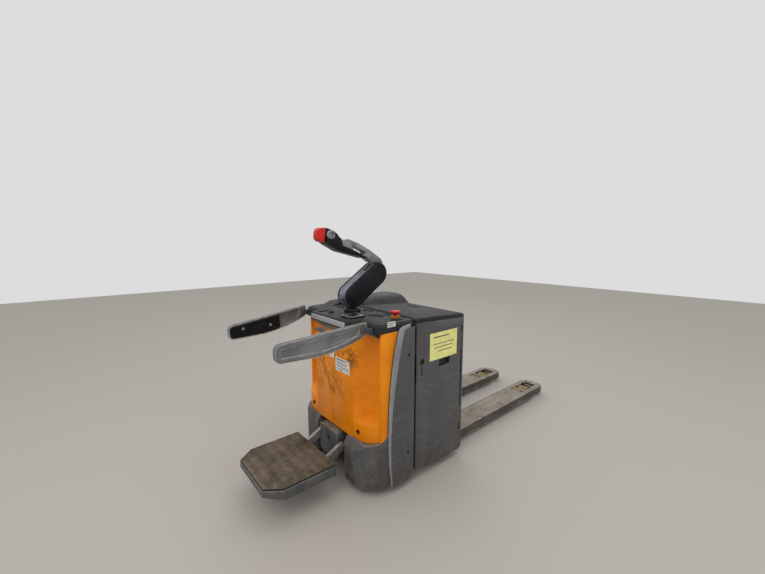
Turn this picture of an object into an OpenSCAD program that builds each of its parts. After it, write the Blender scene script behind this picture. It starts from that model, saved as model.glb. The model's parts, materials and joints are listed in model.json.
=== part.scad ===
// Electric stand-on pallet truck with a fold-up platform, side guard arms and a two-link tiller.
// Inside the modules Y = 0 is the parting gap between the drive unit and the battery box. The forks
// point to +Y, the operator stands at -Y, and Z = 0 is the floor. truck() moves that to the middle.

/* [Overall] */
// Width over the body's sides
body_w = 720; // [700:1:900]
// Height of the deck above the floor
deck_z = 888; // [800:1:1100]
// Height of the body's lower edge above the floor
low_z = 44; // [35:1:60]
// Gap between the drive unit and the battery box
body_gap = 16; // [12:1:24]
// Thickness of the side plates
plate_t = 10; // [6:1:11]

/* [Battery box] */
// Length of the battery box
box_l = 386; // [350:1:560]
// Thickness of the box's sheet walls
box_t = 8; // [5:1:10]
// How much lower the lid is at its rear edge
lid_drop = 20; // [0:1:30]
// Thickness of the lid at its front edge
lid_t = 25; // [15:1:35]
// Width of the battery across the truck
battery_w = 624; // [400:1:640]
// Length of the battery along the truck
battery_l = 284; // [200:1:340]
// Height of the battery
battery_h = 627; // [400:1:640]
// Height of the door
door_h = 630; // [400:1:640]

/* [Forks] */
// Length of the forks behind the battery box
fork_reach = 1251; // [900:1:2000]
// Width of one fork
fork_w = 168; // [150:1:200]
// Width over both forks
forks_over = 564; // [520:1:680]
// Height of the lowered forks' top faces
fork_top_z = 86.5; // [84:0.5:95]
// Depth of a fork from its top face to its lower edge
fork_d = 60; // [50:1:66]
// Thickness of the fork sheet
fork_t = 6; // [4:0.5:8]
// Radius of a load roller
roller_r = 42.5; // [36:0.5:42.5]
// Width of a load roller
roller_w = 76; // [60:1:76]
// How far the forks lift
lift = 125; // [60:1:125]

/* [Drive unit] */
// Radius of the drive wheel
tyre_r = 112; // [90:1:114]
// Width of the drive wheel
tyre_w = 70; // [50:1:72]
// Radius of the drive motor
motor_r = 70; // [50:1:78]
// Height of the drive motor
motor_h = 170; // [120:1:200]
// Radius of a castor wheel
castor_r = 62; // [50:1:63]
// Offset of a castor's axle from its swivel
castor_trail = 27; // [15:1:28]

/* [Platform] */
// Length of the platform tray
tray_l = 352; // [250:1:450]
// Width of the platform tray
tray_w = 404; // [300:1:480]
// Height of the mat's top face
mat_z = 189; // [170:1:200]
// Thickness of the mat
mat_t = 10; // [4:1:12]
// Depth of the tray's sides
tray_d = 50; // [30:1:60]

/* [Side guard arms] */
// Length of a guard arm from its pivot
arm_l = 430; // [350:1:460]
// How far the left guard arm sags when it is open, in degrees
guard_sag = 4.5; // [0:0.5:8]
// Thickness of a guard arm
arm_t = 26; // [20:1:30]
// Distance of the arms' middle from the truck's middle
arm_x = 295; // [285:1:298]

/* [Tiller] */
// Distance between the lower link's two pivots
link_l = 200; // [150:1:260]
// Radius of the lower link's round ends
link_r = 63; // [50:1:70]
// Thickness of the lower link over its covers
link_w = 82; // [70:1:100]
// Lean of the lower link above level
link_lean = 34.8; // [20:1:60]
// Width of the handle's grip body
grip_w = 80; // [70:1:100]
// Radius of the tiller pivots
pivot_r = 10; // [6:0.5:12]

/* [Fits] */
// Radial clearance of running fits
run = 0.06; // [0.03:0.01:0.1]
// Gap between parts that pass each other
pass = 0.5; // [0.3:0.1:1]

/* [Hidden] */
$fn = 48;

half_w = body_w / 2;
side_x = half_w - plate_t;
rear_y = -body_gap / 2;
box_y0 = body_gap / 2;
box_y1 = box_y0 + box_l;
tip_y = box_y1 + fork_reach;
frame_top = deck_z - 46;
hood_top = deck_z - 42;
plate_z = 248;
plate_top = plate_z + 10;

// Steering axis and drive wheel
steer_y = rear_y - 130;
hub_r = 78;

// Platform hinge
hinge_y = -290;
hinge_z = 200;
tray_y1 = hinge_y - 98;
lip_y = tray_y1 - tray_l;
mid_y = (tip_y + lip_y) / 2;

// Hood and skirt
hood_x = side_x - 1;
hood_t = 4;
panel_y = -275;
corner_y = -268;
flute_y = -184;
skirt_y = -302;
skirt_x0 = 138;
block_w = 170;

// Castors
castor_x = side_x - 98;
castor_y = rear_y - 108;
castor_plate_z = 176;

// Arms
arm_y = -292;
arm_z = deck_z - 16;

// Deck
nose_y = -300;
nose_x = 190;
lobe_y = -242;

// Tiller
low_piv = [steer_y - 8, deck_z + 97];
link_dir = [cos(link_lean), sin(link_lean)];
top_piv = low_piv + link_l * link_dir;
thumb_c = top_piv + [-316, 216];
key_c = top_piv + [-268, 213];

// Load wheels
fork_x = (forks_over - fork_w) / 2;
fork_low = fork_top_z - fork_d;
roller_y1 = tip_y - 193;
roller_y2 = roller_y1 - 2 * roller_r - 21;
bogie_y = (roller_y1 + roller_y2) / 2;
bogie_z = roller_r + 1.5;
load_arm_l = 170;
load_piv_z = 46;
load_piv_y = bogie_y - sqrt(pow(load_arm_l, 2) - pow(load_piv_z - bogie_z, 2));
rod_z = 62;

// Battery box
box_top = deck_z - 20;
door_y0 = box_y0 + 90;
door_y1 = box_y1 - 23.5;
door_z0 = 170;
door_hinge = [half_w - 5, box_y1 - 18];
tray_floor_z = 68;
cyl_x = 205;
cyl_y = rear_y - 42;
ram_z = 520;

function arc(c, r, a0, a1, n = 6) =
  [for (i = [0 : n]) let (a = a0 + (a1 - a0) * i / n) c + r * [cos(a), sin(a)]];
function bez(a, b, c, d, n = 10) =
  [for (i = [0 : n]) let (t = i / n, u = 1 - t) u*u*u*a + 3*u*u*t*b + 3*u*t*t*c + t*t*t*d];
function rrect(x0, y0, x1, y1, r) = concat(
  arc([x0 + r, y0 + r], r, 180, 270), arc([x1 - r, y0 + r], r, 270, 360),
  arc([x1 - r, y1 - r], r, 0, 90), arc([x0 + r, y1 - r], r, 90, 180));
function both(p) = concat(p, [for (i = [len(p) - 1 : -1 : 0]) [-p[i][0], p[i][1]]]);
function at_height(f) = low_z + (box_top - low_z) * f;

// Front edge of the pillar trim, from the bottom up, in Y and Z
function trim_front(d = 0) = concat(
  bez([-163 - d, low_z], [-188 - d, at_height(0.26)], [-190 - d, at_height(0.67)],
      [-115 - d, box_top - 24], 14),
  [[-104 - d, box_top - 10], [-88 - d, box_top - 2 + d]]);
// Rear edge of the pillar trim, from the bottom up
trim_rear = concat(
  bez([-152, low_z], [-176, at_height(0.23)], [-172, at_height(0.52)], [-82, box_top - 40], 14),
  [[-70, box_top - 20], [-56, box_top - 16]]);
// Upper edge of the skirts, from the front to the rear; the hood's lower edge runs above it
skirt_edge = [[-340, 225], [-302, 238], [-276, 276], [-262, 278], [-215, 290], [-178, 322], [-60, 330]];

module truck() translate([0, -mid_y, 0]) children();
module on_side(s) mirror([s < 0 ? 1 : 0, 0, 0]) children();
module each_side() {
  children();
  mirror([1, 0, 0]) children();
}
module slab(p, z0, z1) translate([0, 0, z0]) linear_extrude(z1 - z0) polygon(p);
module side_slab(p, x0, x1) translate([x0, 0, 0]) rotate([90, 0, 90]) linear_extrude(x1 - x0) polygon(p);
module front_slab(p, y0, y1) translate([0, y1, 0]) rotate([90, 0, 0]) linear_extrude(y1 - y0) polygon(p);
module box(x0, x1, y0, y1, z0, z1) translate([x0, y0, z0]) cube([x1 - x0, y1 - y0, z1 - z0]);
module xcyl(r, x0, x1, y, z) translate([x0, y, z]) rotate([0, 90, 0]) cylinder(r = r, h = x1 - x0);
module ycyl(r, y0, y1, x, z) translate([x, y1, z]) rotate([90, 0, 0]) cylinder(r = r, h = y1 - y0);
module zcyl(r, z0, z1, x, y) translate([x, y, z0]) cylinder(r = r, h = z1 - z0);

// ---------------------------------------------------------------- chassis

module chassis_frame() color("#2d2e30") truck() difference() {
  union() {
    slab(both([[190, -257], [296, -210], [side_x - 12, -150], [side_x - 12, rear_y]]), plate_z, plate_top);
    box(-side_x + 12, side_x - 12, rear_y - 12, rear_y, 60, frame_top);
    box(-200, 200, -264, -257, 100, plate_top);
    each_side() {
      box(side_x - 12, side_x, rear_y - 62, rear_y, 60, frame_top);
      // hood bracket
      box(212, 232, -241, -231, plate_z, 346);
      // guide rail for the battery box
      box(hood_x - 59, hood_x - 29, rear_y, rear_y + 7, 120, frame_top - 40);
    }
    // steering bearing ring
    zcyl(92, plate_z, plate_top + 16, 0, steer_y);
  }
  zcyl(60 + run, plate_z - 1, plate_top + 30, 0, steer_y);
  box(cyl_x - 35, cyl_x + 35, rear_y - 13, rear_y + 1, ram_z - 20, ram_z + lift + 60);
  each_side() {
    ycyl(4 + run, -280, -220, 222, 324);
    for (z = [191, 715]) xcyl(4 + run, side_x - 13, side_x + 1, rear_y - 40, z);
  }
}

module castor_carriers() color("#2d2e30") truck() each_side() difference() {
  union() {
    slab([[158, -205], [290, -205], [side_x - 12, -150], [side_x - 12, rear_y - 12], [158, rear_y - 12]],
         castor_plate_z, castor_plate_z + 10);
    box(158, 166, -205, rear_y - 12, castor_plate_z, plate_z);
  }
  zcyl(12 + run, castor_plate_z - 1, castor_plate_z + 30, castor_x, castor_y);
}

module side_plate(s) color("#57585a") truck() on_side(s) difference() {
  side_slab(concat(trim_rear, [[-36, box_top - 14], [rear_y, box_top - 14], [rear_y, 52], [-60, low_z - 8],
                               [-120, low_z - 8]]), side_x, half_w);
  for (z = [191, 715]) {
    xcyl(4 + run, side_x - 1, half_w + 1, rear_y - 40, z);
    xcyl(9, half_w - 5, half_w + 1, rear_y - 40, z);
  }
}
module side_plate_right() side_plate(1);
module side_plate_left() side_plate(-1);

module pillar_trims() color("#9b9ca3") truck() each_side() {
  front = trim_front();
  side_slab(concat(front, [[-37, box_top + 6], [-37, box_top - 14]],
                   [for (i = [len(trim_rear) - 1 : -1 : 0]) trim_rear[i]]), side_x, half_w);
}

// Everything above the skirts' upper edge, moved up by d
module above_skirt(d) side_slab(concat([for (p = skirt_edge) p + [0, d]], [[-60, 1200], [-340, 1200]]), 0, 500);

module skirt(s) color("#6b6c6e") truck() on_side(s) difference() {
  wall = 10;
  x1 = hood_x + 1;
  outer = concat([[200, -264.4], [skirt_x0, -264.4], [skirt_x0, skirt_y + 6], [skirt_x0 + 6, skirt_y]],
    bez([215, skirt_y], [285, skirt_y + 2], [x1 - 5, -235], [x1, -175]), [[x1, trim_front(1)[2][0] + 12]]);
  cavity = concat([[skirt_x0 + wall, -200], [skirt_x0 + wall, skirt_y + wall]],
    bez([213, skirt_y + wall], [276, skirt_y + 12], [x1 - 16, -230], [x1 - wall, -172]),
    [[x1 - wall, -120], [200, -120]]);
  slab(outer, low_z, 340);
  above_skirt(0);
  difference() {
    slab(cavity, low_z - 1, 341);
    above_skirt(-wall);
  }
  // undercut lower band
  difference() {
    slab([[skirt_x0 - 1, -340], [x1 + 20, -340], [x1 + 20, -150], [skirt_x0 - 1, -150]], low_z - 1, 96);
    slab(concat([[skirt_x0 - 2, -150], [skirt_x0 - 2, skirt_y + 6]],
      bez([214, skirt_y + 6], [281, skirt_y + 7], [x1 - 11, -233], [x1 - 6, -174]), [[x1 - 6, -149]]), low_z - 2, 97);
  }
}
module skirt_right() skirt(1);
module skirt_left() skirt(-1);

module hinge_block() color("#77787a") truck() difference() {
  front_slab(rrect(-block_w / 2, 113, block_w / 2, 269, 12), -309, -264);
  xcyl(12 + run, -block_w, block_w, hinge_y, hinge_z);
  ycyl(7, -310, -300, 0, 210);
}

// Right half of the hood's plan below the arm pockets, inset by t
function hood_low(t) = concat([[168, corner_y + t]],
  bez([215, corner_y + t], [288 - t, corner_y + 2 + t], [hood_x - t, -226 + t / 2], [hood_x - t, -150]),
  [[hood_x - t, -60]]);
// Right half of the plan beside the arm pockets
function hood_high(t) = concat([[160, panel_y + t]],
  bez([170 - t, panel_y + t], [200 - t, panel_y + 4 + t], [205 - t, flute_y + t], [250, flute_y + t], 8),
  bez([hood_x - 37, flute_y + t], [hood_x - 29 + t, flute_y + t], [hood_x - 25 + t, flute_y - 2 + t],
      [hood_x - 24 + t, flute_y - 16 + t], 5),
  bez([hood_x - 23 + t, flute_y - 26 + t], [hood_x - 20 + t, flute_y - 36 + t], [hood_x - 2 - t, flute_y - 36 + t],
      [hood_x - t, flute_y - 10 + t], 6),
  [[hood_x - t, -60]]);

// The part of a shape below the sloping floor of the arm pockets
module below_pocket(d) difference() {
  children();
  each_side() side_slab([[-330, 330 - d], [flute_y, 412 - d], [-20, 412 - d], [-20, 1200], [-330, 1200]], -1, 500);
}

module motor_hood() color("#e8870e") truck() difference() {
  union() {
    below_pocket(0) slab(both(hood_low(0)), 200, 460);
    slab(both(hood_high(0)), 200, hood_top);
  }
  below_pocket(hood_t + 2) slab(both(concat([[168, corner_y + hood_t]], hood_low(hood_t), [[hood_x - hood_t, 0]])),
                                199, 460);
  slab(both(concat(hood_high(hood_t), [[hood_x - hood_t, 0]])), 199, hood_top + 1);
  each_side() {
    difference() {
      box(-1, 500, -400, 0, 0, 400);
      above_skirt(3);
    }
    side_slab(concat(trim_front(1), [[-60, 1200], [0, 1200], [0, low_z]]), 0, 500);
    ycyl(4 + run, -300, -240, 222, 324);
  }
}

function deck_plan(t, edge) = both(concat(
  arc([nose_x - 14 - t, nose_y + 14 + t], 14, 270, 360, 4), [[nose_x - t, lobe_y + edge + t]],
  arc([hood_x - 34 - t, lobe_y + edge + 34 + t], 34, 270, 360, 5), [[hood_x - t, rear_y - 3]]));

module deck_cover() color("#33343a") truck() difference() {
  union() {
    slab(deck_plan(0, 0), hood_top, deck_z - 7);
    slab(deck_plan(5, 5), deck_z - 7, deck_z);
    // raised edge beside the battery hump
    side_slab([[-120, deck_z - 1], [-70, deck_z + 18], [rear_y - 3, deck_z + 22], [rear_y - 3, deck_z - 1]],
              -hood_x + 6, -hood_x + 110);
    // surround of the steering column
    zcyl(47, deck_z - 1, deck_z + 6, 0, steer_y);
    zcyl(15, deck_z - 1, deck_z + 12, -70, -232);
  }
  slab(both(concat([[nose_x - 8, nose_y + 8], [nose_x - 8, lobe_y + 22], [hood_x - 34, lobe_y + 22],
                    [hood_x - 8, lobe_y + 56], [hood_x - 8, rear_y - 12]])), hood_top - 1, deck_z - 8);
  zcyl(20, deck_z - 20, deck_z + 20, 0, steer_y);
  // trays and slots
  slab(rrect(120, -135, 205, -75, 10), deck_z - 5, deck_z + 1);
  slab(rrect(150, -62, 205, -22, 8), deck_z - 5, deck_z + 1);
  slab(rrect(280, -110, 318, -40, 8), deck_z - 5, deck_z + 1);
  slab(rrect(-190, -125, -90, -30, 12), deck_z - 5, deck_z + 1);
  slab(rrect(-150, -275, -95, -205, 8), deck_z - 5, deck_z + 1);
  slab(rrect(-20, -60, 60, -25, 8), deck_z - 5, deck_z + 1);
}

module deck_strip() color("#b9bbbf") truck()
  side_slab([[nose_y, deck_z - 34], [nose_y - 7, deck_z - 32], [nose_y - 4, deck_z - 7], [nose_y, deck_z - 6]],
            -165, 165);

module display_panel() color("#1d1e22") truck() {
  slab(rrect(46, -246, 136, -152, 6), deck_z, deck_z + 8);
}

module bolt_x(y, z, s) on_side(s) {
  xcyl(4, side_x - 10, half_w - 5, y, z);
  xcyl(7.5, half_w - 5, half_w - 1, y, z);
}
module panel_bolts() color("#26272a") truck() for (s = [-1, 1]) {
  for (z = [191, 715]) bolt_x(rear_y - 40, z, s);
  ycyl(4, corner_y - 0.4, -233, s * 222, 324);
  ycyl(11, corner_y - 3.4, corner_y - 0.4, s * 222, 324);
}

module arm_brackets() color("#3a3b3e") truck() each_side() {
  pin_r = 9;
  for (x = [arm_x - arm_t / 2 - 9, arm_x + arm_t / 2 + 1]) {
    side_slab([[flute_y - 6, hood_top - 34], [flute_y - 6, hood_top - 1], [lobe_y - 5, hood_top - 1],
               [lobe_y - 5, arm_z], [arm_y, arm_z + 16], [arm_y - 15, arm_z - 6]], x, x + 8);
    xcyl(16, x, x + 8, arm_y, arm_z);
  }
  box(arm_x - 28, arm_x + 17, flute_y - 7, flute_y - pass, hood_top - 36, hood_top - 1);
  xcyl(pin_r, arm_x - arm_t / 2 - 9, arm_x + arm_t / 2 + 9, arm_y, arm_z);
}

module estop_base() color("#d9b400") truck() difference() {
  zcyl(23, deck_z, deck_z + 10, 251, -44);
  zcyl(10 + run, deck_z + 1.5, deck_z + 11, 251, -44);
}
module estop_button() color("#c8231c") truck() {
  zcyl(10, deck_z + 9, deck_z + 20, 251, -44);
  translate([251, -44, deck_z + 18]) rotate_extrude()
    polygon(concat([[0, 0], [18, 0]], arc([20, 12], 6, 0, 90, 4), [[0, 20]]));
}

module pump_unit() color("#6f7376") truck() {
  box(-290, -170, -190, -60, plate_top, plate_top + 130);
  zcyl(42, plate_top + 130, plate_top + 290, -230, -125);
  xcyl(9, -170, -140, -90, plate_top + 60);
}

module motor_controller() color("#8a8d90") truck() {
  box(-130, 130, rear_y - 30, rear_y - 12, 600, 790);
  for (i = [0 : 8]) box(-120, 120, rear_y - 50, rear_y - 30, 608 + i * 20, 614 + i * 20);
}

module lift_cylinder() color("#4a4c4f") truck() difference() {
  union() {
    zcyl(26, plate_top, ram_z - 40, cyl_x, cyl_y);
    zcyl(30, ram_z - 62, ram_z - 40, cyl_x, cyl_y);
  }
  zcyl(14 + run, plate_top + 14, ram_z, cyl_x, cyl_y);
}

// ---------------------------------------------------------------- platform

function tray_plan(t) = both([[tray_w / 2 - t, tray_y1 - t], [tray_w / 2 - t, lip_y + 76 + t / 2],
                              [tray_w / 2 - 58 - t / 2, lip_y + t], [20, lip_y + t]]);

module platform_tray() color("#7a7b7d") truck() difference() {
  top = mat_z - mat_t;
  slab(tray_plan(0), top - tray_d, top);
  slab(tray_plan(4), top - tray_d - 1, top - 4);
  // stepped underside at the front
  side_slab([[lip_y - 1, top - 30], [lip_y + 90, top - tray_d - 0.5], [lip_y - 1, top - tray_d - 0.5]], -300, 300);
}

module platform_mat() color("#5d554c") truck() slab(tray_plan(3), mat_z - mat_t, mat_z);

module platform_hinge() color("#a5a7aa") truck() {
  xcyl(12, -118, 118, hinge_y, hinge_z);
  each_side() difference() {
    side_slab(concat(arc([hinge_y, hinge_z], 22, -60, 110, 10),
                     [[tray_y1 - 6, mat_z - mat_t - 5], [tray_y1, mat_z - mat_t - 5],
                      [tray_y1, mat_z - mat_t - 40]]), 92, 112);
    box(80, 130, lip_y, tray_y1, 0, 400);
  }
}

// ---------------------------------------------------------------- side guard arms

arm_tip = arm_y - arm_l;
// Outline of a guard arm in Y and Z, inset by t
function arm_outline(t) = concat(
  [[arm_y + 17 - t, arm_z + 32 - t], [arm_y + 17 - t, arm_z - 20 + t]],
  bez([arm_y + 2 - t, arm_z - 30 + t], [arm_y - 50, arm_z - 52 + t], [arm_y - 150, arm_z - 77 + t],
      [arm_y - 250, arm_z - 77 + t], 8),
  arc([arm_tip + 25, arm_z - 45], 25 - t, 270, 180, 4),
  arc([arm_tip + 25, arm_z - 18], 25 - t, 180, 95, 4));

// The left arm hangs lower than the right one
module sagged(s) translate([0, arm_y, arm_z]) rotate([s < 0 ? guard_sag : 0, 0, 0]) translate([0, -arm_y, -arm_z])
  children();

// The same outline inset by t and cut off square at y = end
function arm_inner(t, end) = concat([[end, arm_z + 32 - t - (arm_y + 17 - end) * 0.06]],
  [for (p = arm_outline(t)) if (p[0] < end - 4) p]);

module guard_arm(s) color("#88898b") truck() on_side(s) sagged(s) difference() {
  side_slab(arm_outline(0), arm_x - arm_t / 2, arm_x + arm_t / 2);
  // hollow inner side, and the channel in the outer face
  side_slab(arm_inner(6, arm_y - 24), arm_x - arm_t, arm_x + arm_t / 2 - 6);
  side_slab(arm_inner(20, arm_y - 24), arm_x + arm_t / 2 - 3, arm_x + arm_t);
  xcyl(9 + run, 0, 500, arm_y, arm_z);
}
module arm_right() guard_arm(1);
module arm_left() guard_arm(-1);

module arm_pad(s) color("#1e1f21") truck() on_side(s) sagged(s)
  side_slab(concat([[arm_tip + 280, arm_z + 15], [arm_tip + 280, arm_z - 58]],
                   [for (p = arm_outline(6.5)) if (p[0] < arm_tip + 260) p]),
            arm_x - arm_t / 2 - 4, arm_x + arm_t / 2 - 6);
module arm_pad_right() arm_pad(1);
module arm_pad_left() arm_pad(-1);

// ---------------------------------------------------------------- steered drive unit

module drive_gearbox() color("#4f5255") truck() difference() {
  union() {
    zcyl(60, plate_z - 20, plate_top + 17, 0, steer_y);
    zcyl(80, plate_top + 16 + pass, plate_top + 30, 0, steer_y);
    box(-40, 80, steer_y - 56, steer_y + 56, tyre_r * 2 + 6, plate_z - 2);
    xcyl(58, tyre_w / 2 + 4, 80, steer_y, tyre_r);
    box(tyre_w / 2 + 4, 80, steer_y - 56, steer_y + 56, tyre_r, plate_z - 4);
    xcyl(14, -tyre_w / 2 + 4, tyre_w / 2 + 5, steer_y, tyre_r);
  }
}

module drive_motor() color("#3c3f42") truck() {
  z0 = plate_top + 30;
  zcyl(motor_r, z0, z0 + motor_h, 0, steer_y);
  for (i = [0 : 5]) zcyl(motor_r + 5, z0 + 25 + i * 20, z0 + 31 + i * 20, 0, steer_y);
  zcyl(48, z0 + motor_h, z0 + motor_h + 45, 0, steer_y);
}

module steering_column() color("#8e9194") truck() {
  z0 = plate_top + 30 + motor_h + 45;
  zcyl(30, z0, z0 + 14, 0, steer_y);
  zcyl(17, z0 + 14, deck_z + 8, 0, steer_y);
}

module drive_hub() color("#6b6e71") truck() difference() {
  xcyl(hub_r, -tyre_w / 2 + 2, tyre_w / 2 - 2, steer_y, tyre_r);
  xcyl(14 + run, -tyre_w / 2 + 3.5, tyre_w, steer_y, tyre_r);
}

module drive_tyre() color("#5a4a33") truck() difference() {
  xcyl(tyre_r, -tyre_w / 2, tyre_w / 2, steer_y, tyre_r);
  xcyl(hub_r, -tyre_w, tyre_w, steer_y, tyre_r);
}

module castor_fork(s) color("#707377") truck() on_side(s) {
  ay = castor_y + castor_trail;
  zcyl(12, castor_plate_z - 10, castor_plate_z + 16, castor_x, castor_y);
  zcyl(34, castor_plate_z - 10, castor_plate_z - 0.3, castor_x, castor_y);
  for (x = [castor_x - 33, castor_x + 27])
    side_slab([[castor_y - 26, castor_plate_z - 4], [castor_y + 26, castor_plate_z - 4],
               [ay + 14, castor_r + 4], [ay + 8, castor_r - 12], [ay - 8, castor_r - 12], [ay - 14, castor_r + 4]],
              x, x + 6);
  box(castor_x - 33, castor_x + 33, castor_y - 20, castor_y + 20, castor_plate_z - 12, castor_plate_z - 4);
  xcyl(8, castor_x - 33, castor_x + 33, ay, castor_r);
}
module castor_fork_right() castor_fork(1);
module castor_fork_left() castor_fork(-1);

module castor_wheel(s) color("#6b5a3c") truck() on_side(s) difference() {
  xcyl(castor_r, castor_x - 22, castor_x + 22, castor_y + castor_trail, castor_r);
  xcyl(8 + run, castor_x - 30, castor_x + 30, castor_y + castor_trail, castor_r);
}
module castor_wheel_right() castor_wheel(1);
module castor_wheel_left() castor_wheel(-1);

// ---------------------------------------------------------------- tiller

module tiller_turret() color("#1b1c20") truck() difference() {
  union() {
    translate([0, steer_y, deck_z + 8]) rotate_extrude()
      polygon(concat([[0, 0], [46, 0]], arc([30, 6], 16, 0, 90, 5), [[0, 22]]));
    side_slab(concat([[low_piv[0] + 22, deck_z + 20]], arc(low_piv, 26, 0, 180, 10),
                     [[low_piv[0] - 22, deck_z + 20]]), -16, 16);
  }
  xcyl(pivot_r + run, -60, 60, low_piv[0], low_piv[1]);
}

// Outline of the lower link, inset by t
function link_outline(t) = concat(arc(low_piv, link_r - t, link_lean + 90, link_lean + 270, 14),
                                  arc(top_piv, link_r - t, link_lean - 90, link_lean + 90, 14));

module tiller_link() color("#44454e") truck() {
  w = link_w / 2 - 8;
  difference() {
    side_slab(link_outline(3), -w, w);
    // room for the turret's lug through the link's travel
    xcyl(link_r - 15, -17, 17, low_piv[0], low_piv[1]);
    side_slab(concat([low_piv], arc(low_piv, link_r + 20, -50, -166, 6)), -17, 17);
    // room for the handle's lug
    xcyl(36, -17, 17, top_piv[0], top_piv[1]);
    side_slab(concat([top_piv], arc(top_piv, link_r + 20, 0, 165, 6)), -17, 17);
  }
  for (p = [low_piv, top_piv]) xcyl(pivot_r, -w, w, p[0], p[1]);
}

module link_covers() color("#121319") truck() each_side() {
  side_slab(link_outline(0), link_w / 2 - 8, link_w / 2 - 3);
  side_slab(link_outline(4), link_w / 2 - 3, link_w / 2);
}

// Points of the handle are given from the upper pivot
function from_top(p) = [for (q = p) top_piv + q];

module handle_frame() color("#8b8d90") truck() difference() {
  union() {
    side_slab(from_top([[-23, 11], [25, 10], [40, 60], [28, 79], [-14, 107], [-32, 79], [-22, 37]]), -16, 16);
    xcyl(28, -16, 16, top_piv[0], top_piv[1]);
    side_slab(from_top([[0, 100], [-57, 135], [-127, 170], [-197, 194], [-233, 188], [-240, 161], [-152, 129],
                        [-74, 90], [-37, 65], [-2, 59], [33, 49], [40, 60], [28, 79]]), -30, 30);
  }
  side_slab(from_top([[-79, 122], [-92, 104], [-166, 137], [-175, 166]]), -60, 60);
  xcyl(pivot_r + run, -60, 60, top_piv[0], top_piv[1]);
  // clear of the lower link's round end
  each_side() xcyl(link_r + 2, 16.5, 60, top_piv[0], top_piv[1]);
}

module grip_body() color("#15161a") truck() difference() {
  w = grip_w / 2;
  union() {
    side_slab(from_top([[-74, 90], [-152, 129], [-240, 161], [-247, 193], [-290, 233], [-331, 248], [-341, 181],
                        [-323, 167], [-252, 130], [-190, 114], [-91, 89]]), -w, w);
    side_slab(from_top([[-329, 239], [-356, 238], [-366, 216], [-358, 193], [-337, 190]]), -w + 14, w - 14);
  }
  xcyl(8 + run, -w - 1, w + 1, thumb_c[0], thumb_c[1]);
  for (x = [-18, 18]) translate([x, key_c[0], key_c[1]]) rotate([-45, 0, 0]) translate([0, 0, -10])
    cylinder(r = 8 + run, h = 30);
}

module belly_button() color("#c4231d") truck() difference() {
  w = grip_w / 2 + 2;
  side_slab(from_top(concat([[-340, 251], [-362, 249]], [[-378, 234], [-385, 212], [-381, 192], [-369, 183]],
                            [[-349, 178]])), -w, w);
  side_slab(from_top([[-325, 243], [-366, 242], [-376, 217], [-366, 188], [-333, 185]]), -w + 15.7, w - 15.7);
}

module thumb_wheel() color("#96989b") truck() {
  w = grip_w / 2;
  xcyl(8, -w - 2, w + 2, thumb_c[0], thumb_c[1]);
  each_side() difference() {
    xcyl(21.5, w + 1, w + 11, thumb_c[0], thumb_c[1]);
    xcyl(15, w + 5, w + 12, thumb_c[0], thumb_c[1]);
  }
}

module tiller_key(x) truck() translate([x, key_c[0], key_c[1]]) rotate([-45, 0, 0]) translate([0, 0, -5])
  cylinder(r = 8, h = 14);
module lift_button() color("#d8b520") tiller_key(18);
module horn_button() color("#3f62a8") tiller_key(-18);

// ---------------------------------------------------------------- battery box

// Heights of the door's two hinge barrels
hinge_zs = [door_z0 + 60, door_z0 + door_h - 120];
hinge_h = 60;

module battery_box() color("#4e4f51") truck() {
  box_walls();
  for (z = hinge_zs, d = [-20.3, hinge_h + 0.3]) {
    zcyl(5, z + d, z + d + 20, door_hinge[0], door_hinge[1]);
    box(door_hinge[0] - 5, door_hinge[0] + 4, door_hinge[1], box_y1 - 9, z + d, z + d + 20);
  }
}

module box_walls() difference() {
  union() {
    for (s = [-1, 1]) on_side(s) side_slab([
      [box_y0, 70], [box_y0 + 112, 63], [box_y0 + 172, low_z - 3], [box_y1 - 20, low_z - 3], [box_y1, 55],
      [box_y1, box_top - lid_drop], [box_y0, box_top]], half_w - box_t, half_w);
    box(-half_w + 1, half_w - 1, box_y0, box_y0 + box_t, 72, box_top - 1);
    box(-half_w + 1, half_w - 1, box_y1 - box_t, box_y1, 56, box_top - lid_drop - 1);
    box(-half_w + 1, half_w - 1, box_y0, box_y1, tray_floor_z, tray_floor_z + 8);
    // ears that the ram pushes on and the guide shoes
    box(cyl_x - 25, cyl_x + 25, cyl_y - 20, box_y0 + 1, ram_z, ram_z + 20);
    for (s = [-1, 1], z = [200, 640]) on_side(s) {
      box(hood_x - 66, hood_x - 59 - 0.1, rear_y + 1.5, box_y0 + 1, z, z + 60);
      box(hood_x - 29 + 0.1, hood_x - 22, rear_y + 1.5, box_y0 + 1, z, z + 60);
    }
    // battery stops
    for (s = [-1, 1]) on_side(s)
      box(battery_w / 2 + 1, battery_w / 2 + 9, box_y0 + 30, box_y1 - 30, tray_floor_z, tray_floor_z + 30);
  }
  // door opening
  box(half_w - box_t - 1, half_w + 1, door_y0 - 1.5, box_y1 - 10.5, door_z0 - 1.5, door_z0 + door_h + 1.5);
  // seat of the lock and slot below it
  xcyl(17 + run, half_w - box_t - 1, half_w + 1, box_y0 + 42, 655);
  side_slab(rrect(box_y0 + 37, 586, box_y0 + 45, 632, 3), half_w - box_t - 1, half_w + 1);
}

module battery() color("#3a3f45") truck() {
  z0 = tray_floor_z + 8;
  y0 = (box_y0 + box_y1) / 2;
  box(-battery_w / 2, battery_w / 2, y0 - battery_l / 2, y0 + battery_l / 2, z0, z0 + battery_h - 12);
  for (i = [0 : 11]) {
    cell = battery_w / 12;
    zcyl(12, z0 + battery_h - 12, z0 + battery_h, -battery_w / 2 + cell * (i + 0.5), y0 - 60);
    zcyl(12, z0 + battery_h - 12, z0 + battery_h, -battery_w / 2 + cell * (i + 0.5), y0 + 60);
  }
}

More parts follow.
